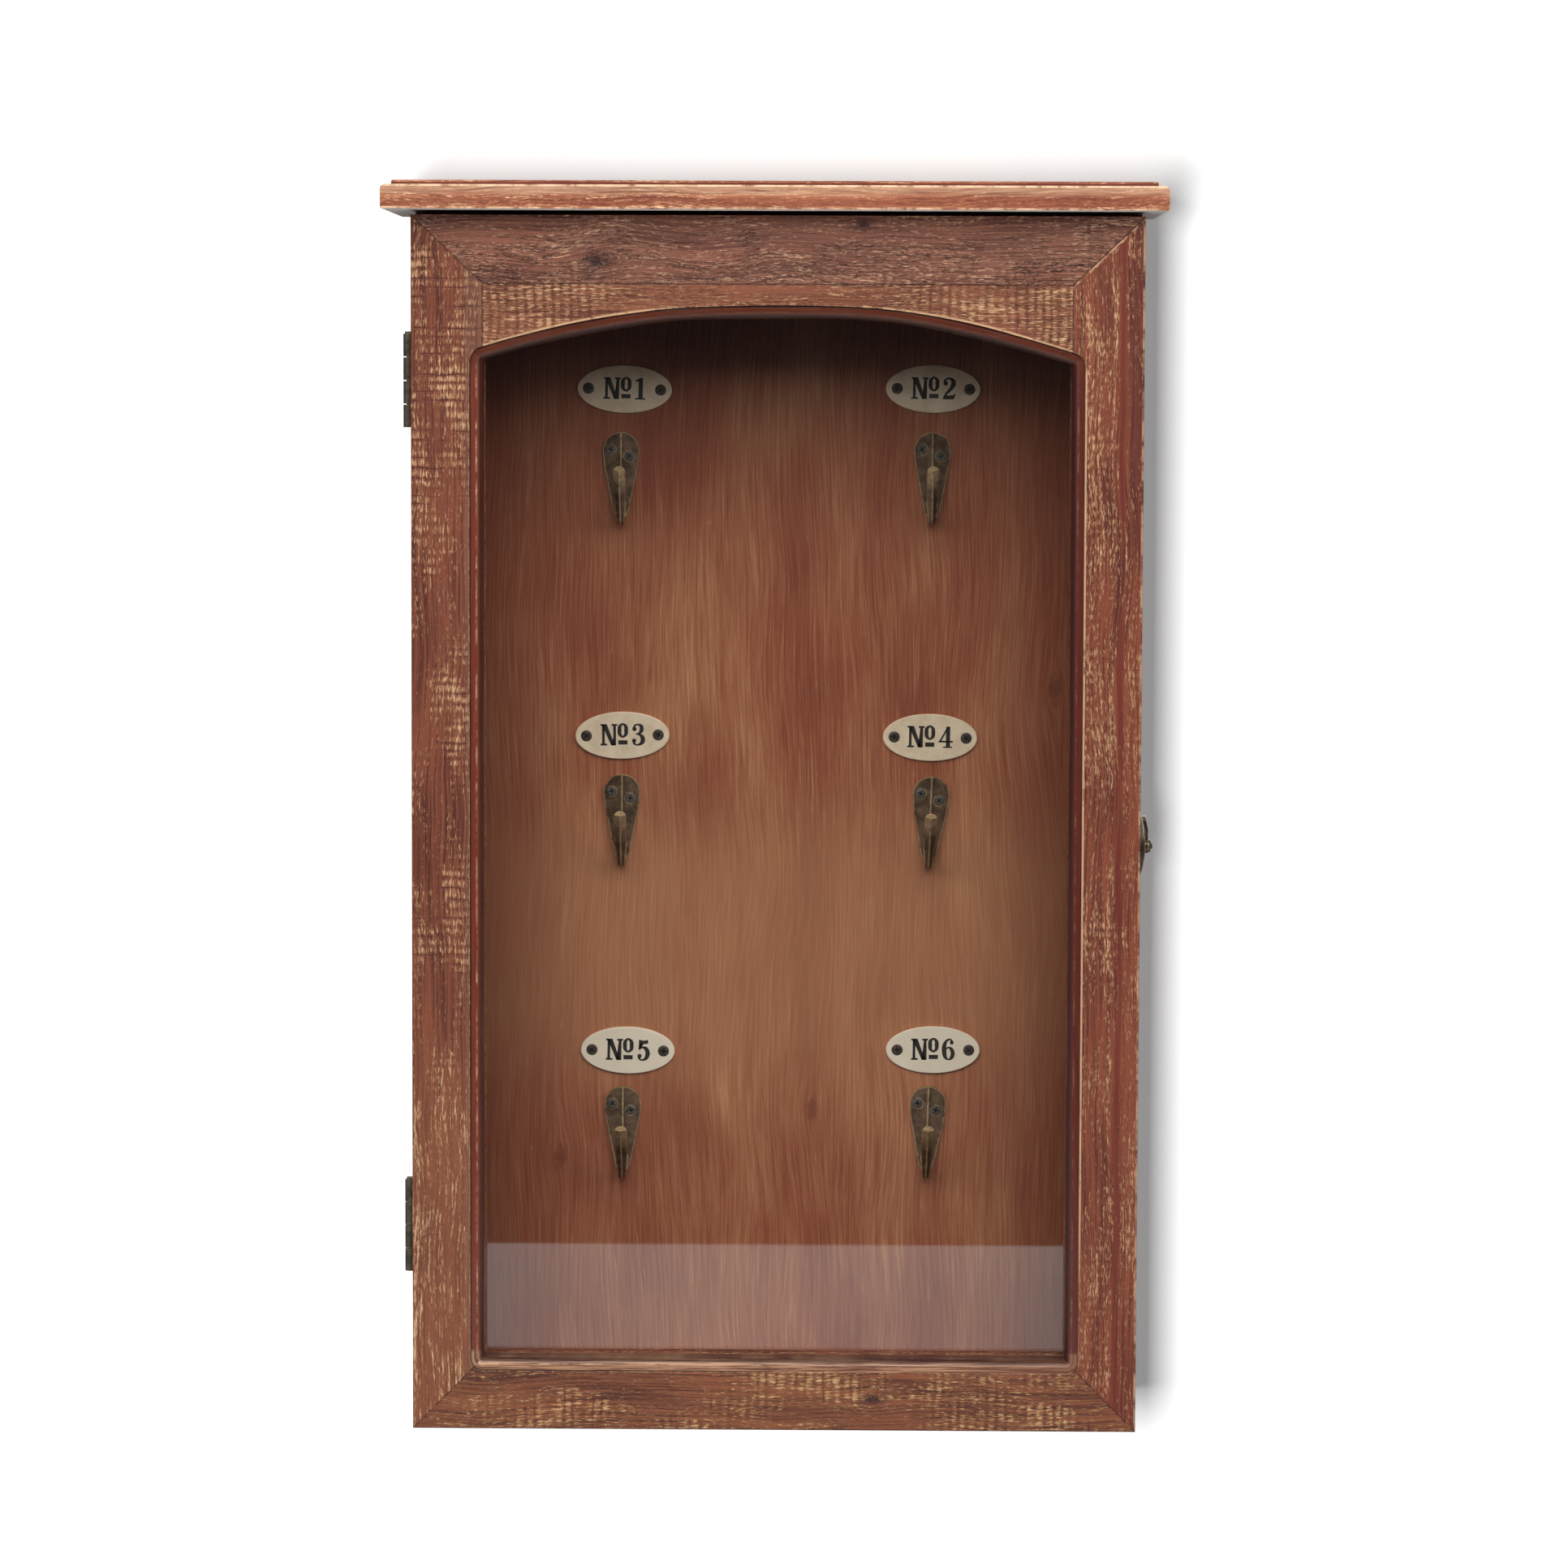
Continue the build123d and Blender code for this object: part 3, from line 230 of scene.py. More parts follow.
def stained(name, axis, seed, dark=DARK, mid=MID, light=LIGHT, pale=PALE, rub=0.0, saw=1.0, crack=0.0, grey=0.0,
            knots=(), trim=False, wear=1.0, cap=False, ends=0.0, inner_grey=0.0, lip=False, seam=None, streak=0.0, calm=0.0):
    g = Graph(name)
    x, y, z = g.coords()
    ax = g.m("ABSOLUTE", x)
    along, across = (z, x) if axis == "z" else (x, z)
    if axis == "y":
        along, across = y, x
    knot_mask = None
    knot_core = None
    for ka, kc, kr in knots:
        da = g.mul(g.sub(along, ka), 0.55)
        dc = g.sub(across, kc)
        d2 = g.add(g.mul(da, da), g.mul(dc, dc))
        bulge = g.m("DIVIDE", 1.0, g.add(1.0, g.mul(d2, 1.0 / (kr * kr))))
        across = g.mad(g.mul(dc, bulge), -0.75, across)
        d = g.m("SQRT", d2)
        wob = g.mul(g.sub(g.noise(g.P, 0.9, 2.0), 0.5), kr * 1.1)
        near = g.sub(1.0, g.step(g.add(d, wob), kr * 0.35, kr * 1.25))
        core = g.sub(1.0, g.step(g.add(d, wob), kr * 0.12, kr * 0.55))
        knot_mask = near if knot_mask is None else g.m("MAXIMUM", knot_mask, near)
        knot_core = core if knot_core is None else g.m("MAXIMUM", knot_core, core)
    s = seed * 7.31
    depth = g.mul(y, 0.9)
    inner = g.add(y, 67.0)
    wander = g.noise(g.vec(g.mad(along, 0.02, s), g.mul(across, 0.02), 0.0), 1.0, 1.0)
    acr = g.mad(g.sub(wander, 0.5), 7.0, across)
    # short flecks where the stain is rubbed off the raised fibres
    fleck = g.noise(g.vec(g.mad(along, 0.46, s), g.mul(acr, 2.3), depth), 1.0, 3.0, 0.72)
    long = g.noise(g.vec(g.mad(along, 0.075, s + 3), g.mul(acr, 1.5), depth), 1.0, 3.0, 0.65)
    dark_lines = g.noise(g.vec(g.mad(along, 0.022, s + 5), g.mul(acr, 1.3), g.mul(inner, 1.1)), 1.0, 3.0, 0.7)
    broad = g.noise(g.vec(g.mad(along, 0.016, s + 9), g.mul(acr, 0.10), g.mul(inner, 0.09)), 1.0, 2.0)
    patch = g.noise(g.vec(g.mad(along, 0.030, s + 13), g.mul(across, 0.085), g.mul(inner, 0.05)), 1.0, 2.0)
    # saw marks: narrow dark lines across the grain with rubbed rows between them
    bend = g.mul(g.sub(g.noise(g.vec(g.mul(along, 0.035), g.mul(across, 0.09), s), 1.0, 1.0), 0.5), 2.2)
    drift = g.mul(g.noise(g.vec(g.mul(along, 0.06), s, 0.0), 1.0, 2.0), 5.0)
    phase = g.mul(g.add(g.add(along, bend), drift), 0.335)
    tri = g.mul(g.m("ABSOLUTE", g.sub(g.m("FRACT", phase), 0.5)), 2.0)
    jit = g.noise(g.vec(g.mad(along, 0.30, s + 21), g.mul(across, 0.05), 0.0), 1.0, 2.0, 0.6)
    here = g.noise(g.vec(g.mad(along, 0.14, s + 25), g.mul(across, 0.06), 0.0), 1.0, 2.0, 0.6)
    where = g.mul(g.step(patch, 0.36, 0.60), g.step(here, 0.34, 0.56))
    if ends:
        where = g.m("MAXIMUM", g.mul(where, 0.3), g.mul(g.step(g.m("ABSOLUTE", g.add(x, 4.0)), 34.0, 62.0), ends))
    if calm:
        # the lower end of the board is planed, paler and straight-grained
        foot = g.mul(g.step(g.mul(z, -1.0), 225.0, 290.0), calm)
        where = g.mul(where, g.sub(1.0, foot))
    cut = g.mul(g.mul(g.step(tri, 0.78, 0.99), g.step(jit, 0.40, 0.62)), g.mul(where, saw))
    row = g.mul(g.mul(g.sub(1.0, g.step(tri, 0.25, 0.8)), where), saw)
    f = g.mad(g.sub(fleck, 0.5), 1.75, 0.5)
    f = g.mad(g.sub(long, 0.5), 0.95, f)
    f = g.mad(row, 0.20, f)
    f = g.mad(cut, -0.16, f)
    f = g.mad(g.sub(patch, 0.5), 0.55, f)
    f = g.add(f, rub)
    tone = g.mad(g.sub(broad, 0.5), 0.9, g.mad(g.sub(dark_lines, 0.5), 2.1, 0.55))
    tone = g.mad(cut, -0.32, tone)
    base = g.mix(g.step(tone, 0.20, 0.80), dark, mid)
    if calm:
        base = g.mix(g.mul(foot, 0.30), base, lin(176, 112, 76))
        f = g.mad(g.mul(foot, g.sub(long, 0.46)), 1.1, f)
        f = g.mad(g.mul(foot, g.step(ax, 112.5, 116.0)), 0.16, f)
    if grey:
        greyed = g.noise(g.vec(g.mad(along, 0.02, s + 31), g.mul(across, 0.09), 0.0), 1.0, 3.0)
        base = g.mix(g.mul(g.step(greyed, 0.35, 0.65), grey), base, g.mix(dark_lines, lin(84, 50, 42), lin(140, 98, 82)))
    if streak:
        # the middle of the stile keeps a band of deep stain
        mid_band = g.m("ABSOLUTE", g.sub(ax, g.mad(g.sub(patch, 0.5), 1.6, 109.6)))
        red = g.mul(g.mul(g.sub(1.0, g.step(mid_band, 0.2, 1.5)), g.step(broad, 0.30, 0.52)), streak)
        base = g.mix(g.mul(red, 0.85), base, lin(112, 38, 28))
        f = g.mad(red, -0.30, f)
        pale_band = g.sub(1.0, g.step(g.m("ABSOLUTE", g.sub(ax, 106.9)), 0.3, 1.5))
        f = g.mad(g.mul(pale_band, g.step(broad, 0.35, 0.6)), 0.16, f)
        outer = g.mul(g.step(ax, 111.0, 112.5), g.step(z, -120.0, -60.0))
        base = g.mix(g.mul(outer, 0.6), base, lin(92, 38, 30))
        f = g.mad(outer, -0.05, f)
    rubbed = g.step(f, 0.62, 0.86)
    col = g.mix(g.mul(rubbed, 0.9), base, light)
    col = g.mix(g.mul(g.step(f, 0.86, 1.08), 0.75), col, pale)
    height = g.mad(rubbed, 0.45, g.mul(long, 0.45))
    height = g.mad(cut, -0.9, height)
    if inner_grey:
        # handled strip beside the moulding, smoother and greyer
        strip = g.mul(g.sub(1.0, g.step(g.sub(ax, 97.8), 0.9, 2.2)), inner_grey)
        col = g.mix(g.mul(strip, 0.6), col, g.mix(dark_lines, lin(112, 66, 52), lin(158, 116, 96)))
    if crack:
        cn = g.noise(g.vec(g.mad(along, 0.060, s + 41), g.mul(acr, 0.50), 0.0), 1.0, 3.0, 0.62, 0.45)
        c1 = g.sub(1.0, g.step(g.m("ABSOLUTE", g.sub(cn, 0.5)), 0.0, 0.016))
        cn2 = g.noise(g.vec(g.mad(along, 0.13, s + 43), g.mul(acr, 0.95), 0.0), 1.0, 2.0, 0.6, 0.5)
        c2 = g.mul(g.sub(1.0, g.step(g.m("ABSOLUTE", g.sub(cn2, 0.48)), 0.0, 0.026)), 0.8)
        cp = g.noise(g.vec(g.mad(along, 0.05, s + 45), g.mul(across, 0.14), 0.0), 1.0, 2.0)
        zone = g.step(g.mad(g.sub(4.0, z), 0.010, cp), 0.40, 0.56) if knots and axis == "x" and not trim else g.step(cp, 0.40, 0.54)
        cr = g.mul(g.m("MAXIMUM", c1, c2), g.mul(zone, crack))
        lipn = g.sub(1.0, g.step(g.m("ABSOLUTE", g.sub(cn2, 0.535)), 0.0, 0.035))
        col = g.mix(g.mul(g.mul(lipn, zone), 0.55 * crack), col, light)
        col = g.mix(g.mul(cr, 0.85), col, lin(44, 20, 16))
        height = g.mad(cr, -1.3, height)
    if knot_mask is not None:
        col = g.mix(g.mul(knot_mask, 0.6), col, lin(80, 44, 38))
        col = g.mix(g.mul(knot_core, 0.8), col, lin(44, 22, 26))
        height = g.mad(knot_core, -0.8, height)
    if lip:
        # bare arris above the moulding
        d0 = trim_depth(g, x, z)
        bare = g.mul(g.step(d0, -0.95, -0.45), g.sub(1.0, g.step(d0, -0.12, 0.05)))
        bare = g.mul(bare, g.step(g.mad(g.step(ax, 18.0, 50.0), 0.24, g.noise(g.vec(g.mul(x, 0.30), 3.0, 0.0), 1.0, 3.0, 0.6)), 0.52, 0.70))
        col = g.mix(g.mul(bare, 0.85), col, lin(236, 190, 146))
    if seam:
        # dark joints between the members
        gap = None
        for kind in seam:
            if kind == "mitre_top":
                d = g.m("ABSOLUTE", g.mul(g.sub(g.sub(z, -6.4), g.mul(g.sub(ax, 93.6), 21.7 / 22.8)), 0.724))
            elif kind == "mitre_low":
                d = g.m("ABSOLUTE", g.mul(g.add(g.sub(z, -350.8), g.mul(g.sub(ax, 93.6), 23.2 / 22.8)), 0.70))
            elif kind == "rail":
                d = g.m("MAXIMUM", g.m("ABSOLUTE", g.sub(z, -6.4)), g.sub(ax, 93.6))
            else:
                d = g.m("MAXIMUM", g.m("ABSOLUTE", g.sub(ax, 93.6)), g.sub(z, -6.4))
                d = g.m("MAXIMUM", d, g.sub(-31.0, z))
            gap = d if gap is None else g.m("MINIMUM", gap, d)
        rag = g.mul(g.sub(g.noise(g.P, 0.6, 3.0, 0.6), 0.5), 0.9)
        line = g.sub(1.0, g.step(g.add(gap, rag), 0.04, 0.36))
        col = g.mix(g.mul(line, 0.75), col, lin(46, 20, 15))
        if streak:
            # splintered pale arris along the mitre
            below = g.mul(g.sub(g.mul(g.sub(ax, 93.6), 21.7 / 22.8), g.add(z, 6.4)), 0.724)
            chip = g.mul(g.step(below, 0.10, 0.25), g.sub(1.0, g.step(g.add(below, g.mul(rag, 1.6)), 0.55, 0.95)))
            chip = g.mul(chip, g.step(g.noise(g.P, 0.5, 3.0, 0.6), 0.40, 0.56))
            col = g.mix(g.mul(chip, 0.8), col, lin(226, 178, 140))
            rim = g.mul(g.step(ax, 115.5, 116.0), g.step(g.noise(g.vec(g.mul(z, 0.09), 5.0, s), 1.0, 4.0, 0.7), 0.42, 0.58))
            col = g.mix(g.mul(g.mul(rim, g.step(g.mul(y, -1.0), 65.5, 66.5)), 0.7), col, lin(232, 190, 152))
    # worn arrises
    e = g.edge(0.75)
    worn = g.mul(e, g.step(g.noise(g.P, 0.55, 3.0, 0.6), 0.42, 0.62))
    if seam:
        worn = g.mul(worn, g.step(gap, 0.6, 1.4))
    col = g.mix(g.mul(worn, 0.7 * wear), col, pale)
    rough = g.mad(rubbed, 0.14, 0.52)
    if cap:
        geo = g.node("ShaderNodeNewGeometry")
        nz = g.node("ShaderNodeSeparateXYZ", {0: geo.outputs["Normal"]}).outputs[2]
        front = g.sub(1.0, g.step(g.m("ABSOLUTE", nz), 0.75, 0.95))
        # painted highlight on the dull upper half of the front, where the rounded top catches light from above; deep
        # red lower half, bare arrises
        tan = g.mix(g.step(long, 0.3, 0.7), lin(128, 88, 66), lin(196, 158, 128))
        painted_highlight_upper = g.mul(g.step(g.mad(g.sub(long, 0.5), 2.0, z), 20.6, 22.2), g.sub(1.0, g.step(z, 24.5, 24.7)))
        col = g.mix(g.mul(g.mul(painted_highlight_upper, front), 0.62), col, tan)
        red = g.mul(g.step(z, 17.6, 18.4), g.sub(1.0, g.step(g.mad(g.sub(long, 0.5), 2.4, z), 19.6, 21.0)))
        col = g.mix(g.mul(g.mul(red, front), 0.62), col, g.mix(g.step(fleck, 0.3, 0.7), lin(80, 32, 20), lin(150, 82, 54)))
        # painted shade in the groove below the top strip
        groove_shade = g.mul(g.step(z, 24.58, 24.66), g.sub(1.0, g.step(z, 25.15, 25.45)))
        col = g.mix(g.mul(g.mul(groove_shade, front), 0.85), col, lin(92, 26, 16))
        ln = g.noise(g.vec(g.mul(x, 0.16), 7.0, 0.0), 1.0, 4.0, 0.65)
        ledge = g.mul(g.mul(g.step(z, 23.75, 24.1), g.sub(1.0, g.step(z, 24.62, 24.7))), g.step(ln, 0.34, 0.56))
        col = g.mix(g.mul(ledge, 0.8), col, lin(246, 214, 176))
        low = g.mul(g.sub(1.0, g.step(g.mad(g.sub(long, 0.5), 1.2, z), 17.1, 17.7)), g.mul(front, g.step(g.noise(g.vec(g.mul(x, 0.12), 11.0, 0.0), 1.0, 4.0, 0.65), 0.42, 0.58)))
        col = g.mix(g.mul(low, 0.75), col, lin(240, 206, 168))
        # the underside is painted pale grey: partly bare raw wood, partly a painted reflection of the white floor
        raw_wood_and_reflection = g.mix(g.step(g.noise(g.P, 0.8, 4.0, 0.7), 0.35, 0.7), lin(222, 218, 212), lin(172, 166, 160))
        col = g.mix(g.step(g.mul(nz, -1.0), 0.75, 0.95), col, raw_wood_and_reflection)
    if trim:
        d = trim_depth(g, x, z)
        inside = g.step(d, -0.05, 0.05)
        front = g.step(g.mul(y, -1.0), 57.5, 58.5)
        inside = g.mul(inside, front)
        vertical = g.step(g.mad(z, -1.0, -31.0), 0.0, 4.0)
        bottom = g.sub(1.0, g.step(z, -349.5, -348.0))
        tint = g.noise(g.vec(g.mad(along, 0.05, s + 51), g.mul(d, 1.6), 0.0), 1.0, 2.0)
        # the bead colour follows which way it faces: darker along the arch, which faces down, as painted shade; lighter
        # along the bottom, which faces up, partly painted light among its real streaks
        arch_shaded_tint = g.mix(tint, lin(84, 36, 24), lin(122, 62, 42))
        side_tint = g.mix(tint, lin(92, 36, 25), lin(150, 74, 52))
        # painted shade: the right-hand bead is made darker
        right_side = g.step(x, -1.0, 1.0)
        side_tint = g.mix(right_side, side_tint, g.mix(tint, lin(76, 30, 26), lin(118, 54, 42)))
        streaks = g.noise(g.vec(g.mul(x, 0.05), g.mul(d, 2.2), s), 1.0, 4.0, 0.7)
        low_tint = g.mix(g.step(streaks, 0.36, 0.62), lin(96, 50, 36), lin(204, 156, 122))
        low_tint = g.mix(g.mul(g.step(x, 40.0, 90.0), 0.6), low_tint, lin(108, 58, 42))
        tcol = g.mix(vertical, arch_shaded_tint, side_tint)
        tcol = g.mix(bottom, tcol, low_tint)
        only_right = g.mul(right_side, vertical)
        # painted shade along the step at the outline of the moulding
        groove_shade = g.mul(g.sub(1.0, g.step(d, 0.16, 0.45)), g.sub(1.0, g.mul(only_right, 0.8)))
        tcol = g.mix(g.mul(groove_shade, 0.88), tcol, lin(30, 13, 10))
        broken = g.noise(g.vec(g.mad(x, 0.10, s + 55), g.mul(y, 0.5), g.mul(z, 0.10)), 1.0, 5.0, 0.75)
        line = g.mul(g.sub(1.0, g.step(g.m("ABSOLUTE", g.sub(d, 2.15)), 0.10, 0.38)), g.step(broken, 0.44, 0.66))
        line = g.mul(line, g.mad(g.m("MAXIMUM", vertical, bottom), 0.85, 0.10))
        line = g.mul(line, g.sub(1.0, g.mul(only_right, 0.75)))
        tcol = g.mix(g.mul(line, 0.8), tcol, lin(232, 190, 154))
        # painted shade on the steep inner wall of the moulding
        painted_shade_band = g.step(d, 2.5, 3.2)
        tcol = g.mix(g.mul(painted_shade_band, 0.75), tcol, lin(46, 19, 15))
        col = g.mix(inside, col, tcol)
        # bare arris where the right stile meets its moulding
        arris = g.mul(g.step(d, -0.60, -0.35), g.sub(1.0, g.step(d, 0.02, 0.20)))
        arris = g.mul(g.mul(arris, front), g.mul(g.mul(only_right, g.step(z, -338.0, -300.0)), g.step(broken, 0.30, 0.46)))
        col = g.mix(g.mul(arris, 0.85), col, lin(232, 190, 152))
        rough = g.mad(g.sub(0.30, rough), inside, rough)
        height = g.mul(height, g.sub(1.0, g.mul(inside, 0.85)))
    return g.finish(col, rough, height, 0.20, 0.9, spec=0.35)


MAT = {}
MAT["cap"] = stained("wood_cap", "x", 1, dark=lin(104, 46, 30), mid=lin(158, 96, 66), light=lin(214, 166, 128), rub=0.05, saw=0.0, cap=True)
MAT["stile_l"] = stained("wood_stile_left", "z", 2, dark=lin(86, 36, 25), mid=lin(140, 76, 52), rub=0.015, saw=1.0, trim=True, calm=1.0, inner_grey=0.7, seam=("mitre_top", "mitre_low", "arch"))
MAT["stile_r"] = stained("wood_stile_right", "z", 3, dark=lin(92, 38, 26), mid=lin(144, 74, 50), rub=0.045, saw=0.35, trim=True, streak=0.9, seam=("mitre_top", "mitre_low", "arch"))
MAT["rail_t"] = stained("wood_rail_top", "x", 4, dark=lin(90, 46, 36), mid=lin(150, 92, 72), light=lin(212, 164, 134), rub=0.03, saw=0.25, crack=0.9, grey=0.35, knots=[(-57.4, 0.7, 4.2), (26.8, 12.2, 2.6)], seam=("mitre_top", "rail"))
MAT["rail_b"] = stained("wood_rail_bottom", "x", 5, dark=lin(84, 40, 28), mid=lin(150, 88, 58), light=lin(216, 164, 112), rub=0.03, saw=0.8, crack=0.3, grey=0.08, knots=[(31.8, -363.9, 2.6)], trim=True, seam=("mitre_low",))
MAT["arch"] = stained("wood_arch", "x", 6, dark=lin(98, 46, 32), mid=lin(150, 88, 62), light=lin(214, 162, 120), rub=0.06, saw=0.85, crack=0.5, trim=True, ends=0.9, lip=True, seam=("rail", "arch"))
MAT["carcass"] = stained("wood_carcass", "z", 7, rub=-0.02, saw=0.5)
MAT["carcass_x"] = stained("wood_carcass_cross", "x", 8, rub=-0.05, saw=0.4, wear=0.8)


def ply():
    g = Graph("ply_back")
    x, y, z = g.coords()
    across = x
    mask = None
    for kx, kz, kr in [(91.4, -138.2, 3.2), (11.5, -278.0, 2.6), (-72.4, -294.8, 2.6)]:
        dx, dz = g.sub(x, kx), g.mul(g.sub(z, kz), 0.5)
        d2 = g.add(g.mul(dx, dx), g.mul(dz, dz))
        across = g.mad(g.mul(dx, g.m("DIVIDE", 1.0, g.add(1.0, g.mul(d2, 1 / (kr * kr * 2.0))))), -0.7, across)
        wob = g.mul(g.sub(g.noise(g.P, 0.7, 2.0), 0.5), kr * 1.2)
        near = g.sub(1.0, g.step(g.add(g.m("SQRT", d2), wob), kr * 0.2, kr * 1.1))
        mask = near if mask is None else g.m("MAXIMUM", mask, near)
    wander = g.noise(g.vec(g.mul(x, 0.01), 0.0, g.mul(z, 0.006)), 1.0, 2.0)
    across = g.mad(g.sub(wander, 0.5), 26.0, across)
    fine = g.noise(g.vec(g.mul(across, 1.5), 0.0, g.mul(z, 0.035)), 1.0, 3.0, 0.75)
    mid = g.noise(g.vec(g.mul(across, 0.30), 0.0, g.mad(z, 0.014, 3.0)), 1.0, 3.0, 0.6)
    broad = g.noise(g.vec(g.mul(across, 0.035), 0.0, g.mad(z, 0.012, 9.0)), 1.0, 2.0)
    t = g.mad(g.sub(fine, 0.5), 0.95, g.mad(g.sub(mid, 0.5), 0.22, g.mad(g.sub(broad, 0.5), 0.8, 0.5)))
    col = g.ramp(g.step(t, 0.10, 0.90), [(0.0, lin(126, 58, 38)), (0.4, lin(156, 88, 60)), (0.7, lin(176, 114, 80)), (1.0, lin(206, 148, 108))])
    hair = g.noise(g.vec(g.mul(g.mad(z, 0.05, across), 0.55), 0.0, g.mad(z, 0.012, 20.0)), 1.0, 1.0, 0.5)
    line = g.mul(g.sub(1.0, g.step(g.m("ABSOLUTE", g.sub(hair, 0.5)), 0.0, 0.007)), g.step(mid, 0.50, 0.62))
    col = g.mix(g.mul(line, 0.4), col, lin(214, 160, 128))
    fleck = g.step(g.noise(g.vec(g.mul(across, 2.2), 0.0, g.mul(z, 0.16)), 1.0, 2.0, 0.6), 0.64, 0.78)
    col = g.mix(g.mul(fleck, 0.28), col, lin(206, 150, 112))
    col = g.mix(g.mul(mask, 0.6), col, lin(104, 44, 30))
    # painted shade darkens the top under the arch, and a painted pool of light lightens the panel a little below the
    # middle
    painted_shade_band = g.step(g.mad(g.sub(broad, 0.5), 30.0, z), -120.0, -60.0)
    col = g.mix(g.mul(painted_shade_band, 0.34), col, lin(112, 40, 20))
    painted_light_pool = g.mul(g.step(g.mul(z, -1.0), 160.0, 205.0), g.sub(1.0, g.step(g.mul(z, -1.0), 240.0, 295.0)))
    col = g.mix(g.mul(painted_light_pool, 0.36), col, lin(206, 150, 110))
    # painted shade towards the left and right edges of the panel, where the stiles shade it
    ax = g.m("ABSOLUTE", x)
    edge = g.step(g.mad(g.sub(broad, 0.5), 30.0, ax), 62.0, 104.0)
    col = g.mix(g.mul(edge, 0.55), col, lin(108, 48, 32))
    return g.finish(col, g.mad(mid, 0.12, 0.42), g.mul(fine, 0.4), 0.04, 0.4, spec=0.3)


MAT["back"] = ply()


def bronze(name, seed, dark, mid, bright, rub=0.75, rough=0.42, tip=False, ridge=None):
    g = Graph(name)
    x, y, z = g.coords()
    cloud = g.noise(g.vec(g.add(x, seed * 3.7), y, z), 0.35, 4.0, 0.6)
    speck = g.noise(g.P, 2.6, 3.0, 0.65)
    t = g.mad(g.sub(speck, 0.5), 0.55, cloud)
    col = g.mix(g.step(t, 0.32, 0.68), dark, mid)
    green = g.mul(g.step(g.noise(g.P, 0.8, 2.0), 0.56, 0.7), 0.3)
    col = g.mix(green, col, lin(66, 66, 56))
    # lighter arrises: partly worn metal, partly a painted rim highlight
    e = g.edge(0.6, 0.008, 0.09)
    worn = g.mul(e, g.step(g.noise(g.P, 0.45, 2.0), 0.28, 0.52))
    if tip:
        # painted highlight on the front of the turned-up tip, where it catches the light
        front = g.step(g.mul(y, -1.0), 18.0, 23.5)
        worn = g.m("MAXIMUM", worn, g.mul(front, g.step(speck, 0.25, 0.7)))
    if ridge:
        # casting line down the middle with a painted highlight along it, and painted shade on the facet to its right
        hx, hz, lean = ridge
        t = math.tan(math.radians(lean))
        u = g.mad(g.sub(z, hz), t * -1.0, g.sub(x, hx))
        line = g.mul(g.sub(1.0, g.step(g.m("ABSOLUTE", u), 0.10, 0.34)), g.step(speck, 0.30, 0.56))
        worn = g.m("MAXIMUM", worn, g.mul(line, 0.75))
        shade = g.mul(g.step(u, 0.30, 0.50), g.sub(1.0, g.step(u, 0.9, 1.5)))
        col = g.mix(g.mul(shade, 0.30), col, lin(44, 32, 24))
    # worn carries the worn arrises and the painted highlights of the rim, tip and ridge
    col = g.mix(g.mul(worn, rub), col, bright)
    r = g.mad(g.sub(cloud, 0.5), 0.3, rough)
    r = g.mad(worn, -0.12, r)
    return g.finish(col, r, g.mad(speck, 0.5, g.mul(cloud, 0.5)), 0.05, 0.55, metallic=g.mad(worn, -0.22, 0.45), spec=0.5)


MAT["bronze"] = bronze("aged_bronze", 1, lin(84, 68, 54), lin(124, 103, 82), lin(232, 200, 150))
HOOKS = [(-52.2, -68.8, 0.0), (50.4, -68.5, 0.3), (-51.8, -181.8, 0.2), (50.3, -182.2, 2.2), (-51.4, -286.0, 0.0), (49.9, -285.5, 1.7)]
for i, (hx, hz, lean) in enumerate(HOOKS, 1):
    MAT["hook_%d" % i] = bronze("hook_bronze_%d" % i, 3 + i, lin(84, 64, 50), lin(124, 98, 76), lin(240, 212, 160), 0.85, 0.34, tip=True, ridge=(hx, hz, lean))
MAT["catch"] = bronze("catch_bronze", 12, lin(52, 44, 37), lin(84, 73, 59), lin(196, 170, 126), 0.55, 0.36)
MAT["bronze_dark"] = bronze("hinge_bronze", 2, lin(64, 58, 50), lin(98, 90, 76), lin(184, 162, 122), 0.5)


def enamel():
    g = Graph("enamel_cream")
    x, y, z = g.coords()
    cloud = g.noise(g.P, 0.16, 3.0, 0.6)
    speck = g.noise(g.P, 2.2, 3.0, 0.7)
    fleck = g.noise(g.P, 4.5, 2.0, 0.6)
    col = g.mix(g.step(cloud, 0.3, 0.7), lin(226, 204, 174), lin(242, 224, 196))
    col = g.mix(g.mul(g.step(speck, 0.48, 0.72), 0.40), col, lin(196, 168, 136))
    col = g.mix(g.mul(g.step(fleck, 0.60, 0.72), 0.4), col, lin(140, 112, 86))
    # painted light: the lower plates are made paler, as the bottom of the case is better lit
    col = g.mix(g.mul(g.step(g.mul(z, -1.0), 200.0, 240.0), 0.6), col, lin(252, 242, 224))
    e = g.edge(0.5, 0.02, 0.22)
    col = g.mix(g.mul(e, 0.55), col, lin(112, 92, 74))
    return g.finish(col, g.mad(speck, 0.15, 0.38), speck, 0.03, 0.5, spec=0.5)


MAT["enamel"] = enamel()


def paint_black():
    g = Graph("number_black")
    g.coords()
    n = g.noise(g.P, 1.8, 3.0, 0.6)
    chip = g.step(g.noise(g.P, 3.2, 3.0, 0.7), 0.70, 0.78)
    col = g.mix(n, lin(20, 15, 13), lin(42, 32, 27))
    col = g.mix(g.mul(chip, 0.5), col, lin(112, 94, 78))
    return g.finish(col, g.mad(n, 0.2, 0.35), n, 0.02, 0.4)


MAT["black"] = paint_black()


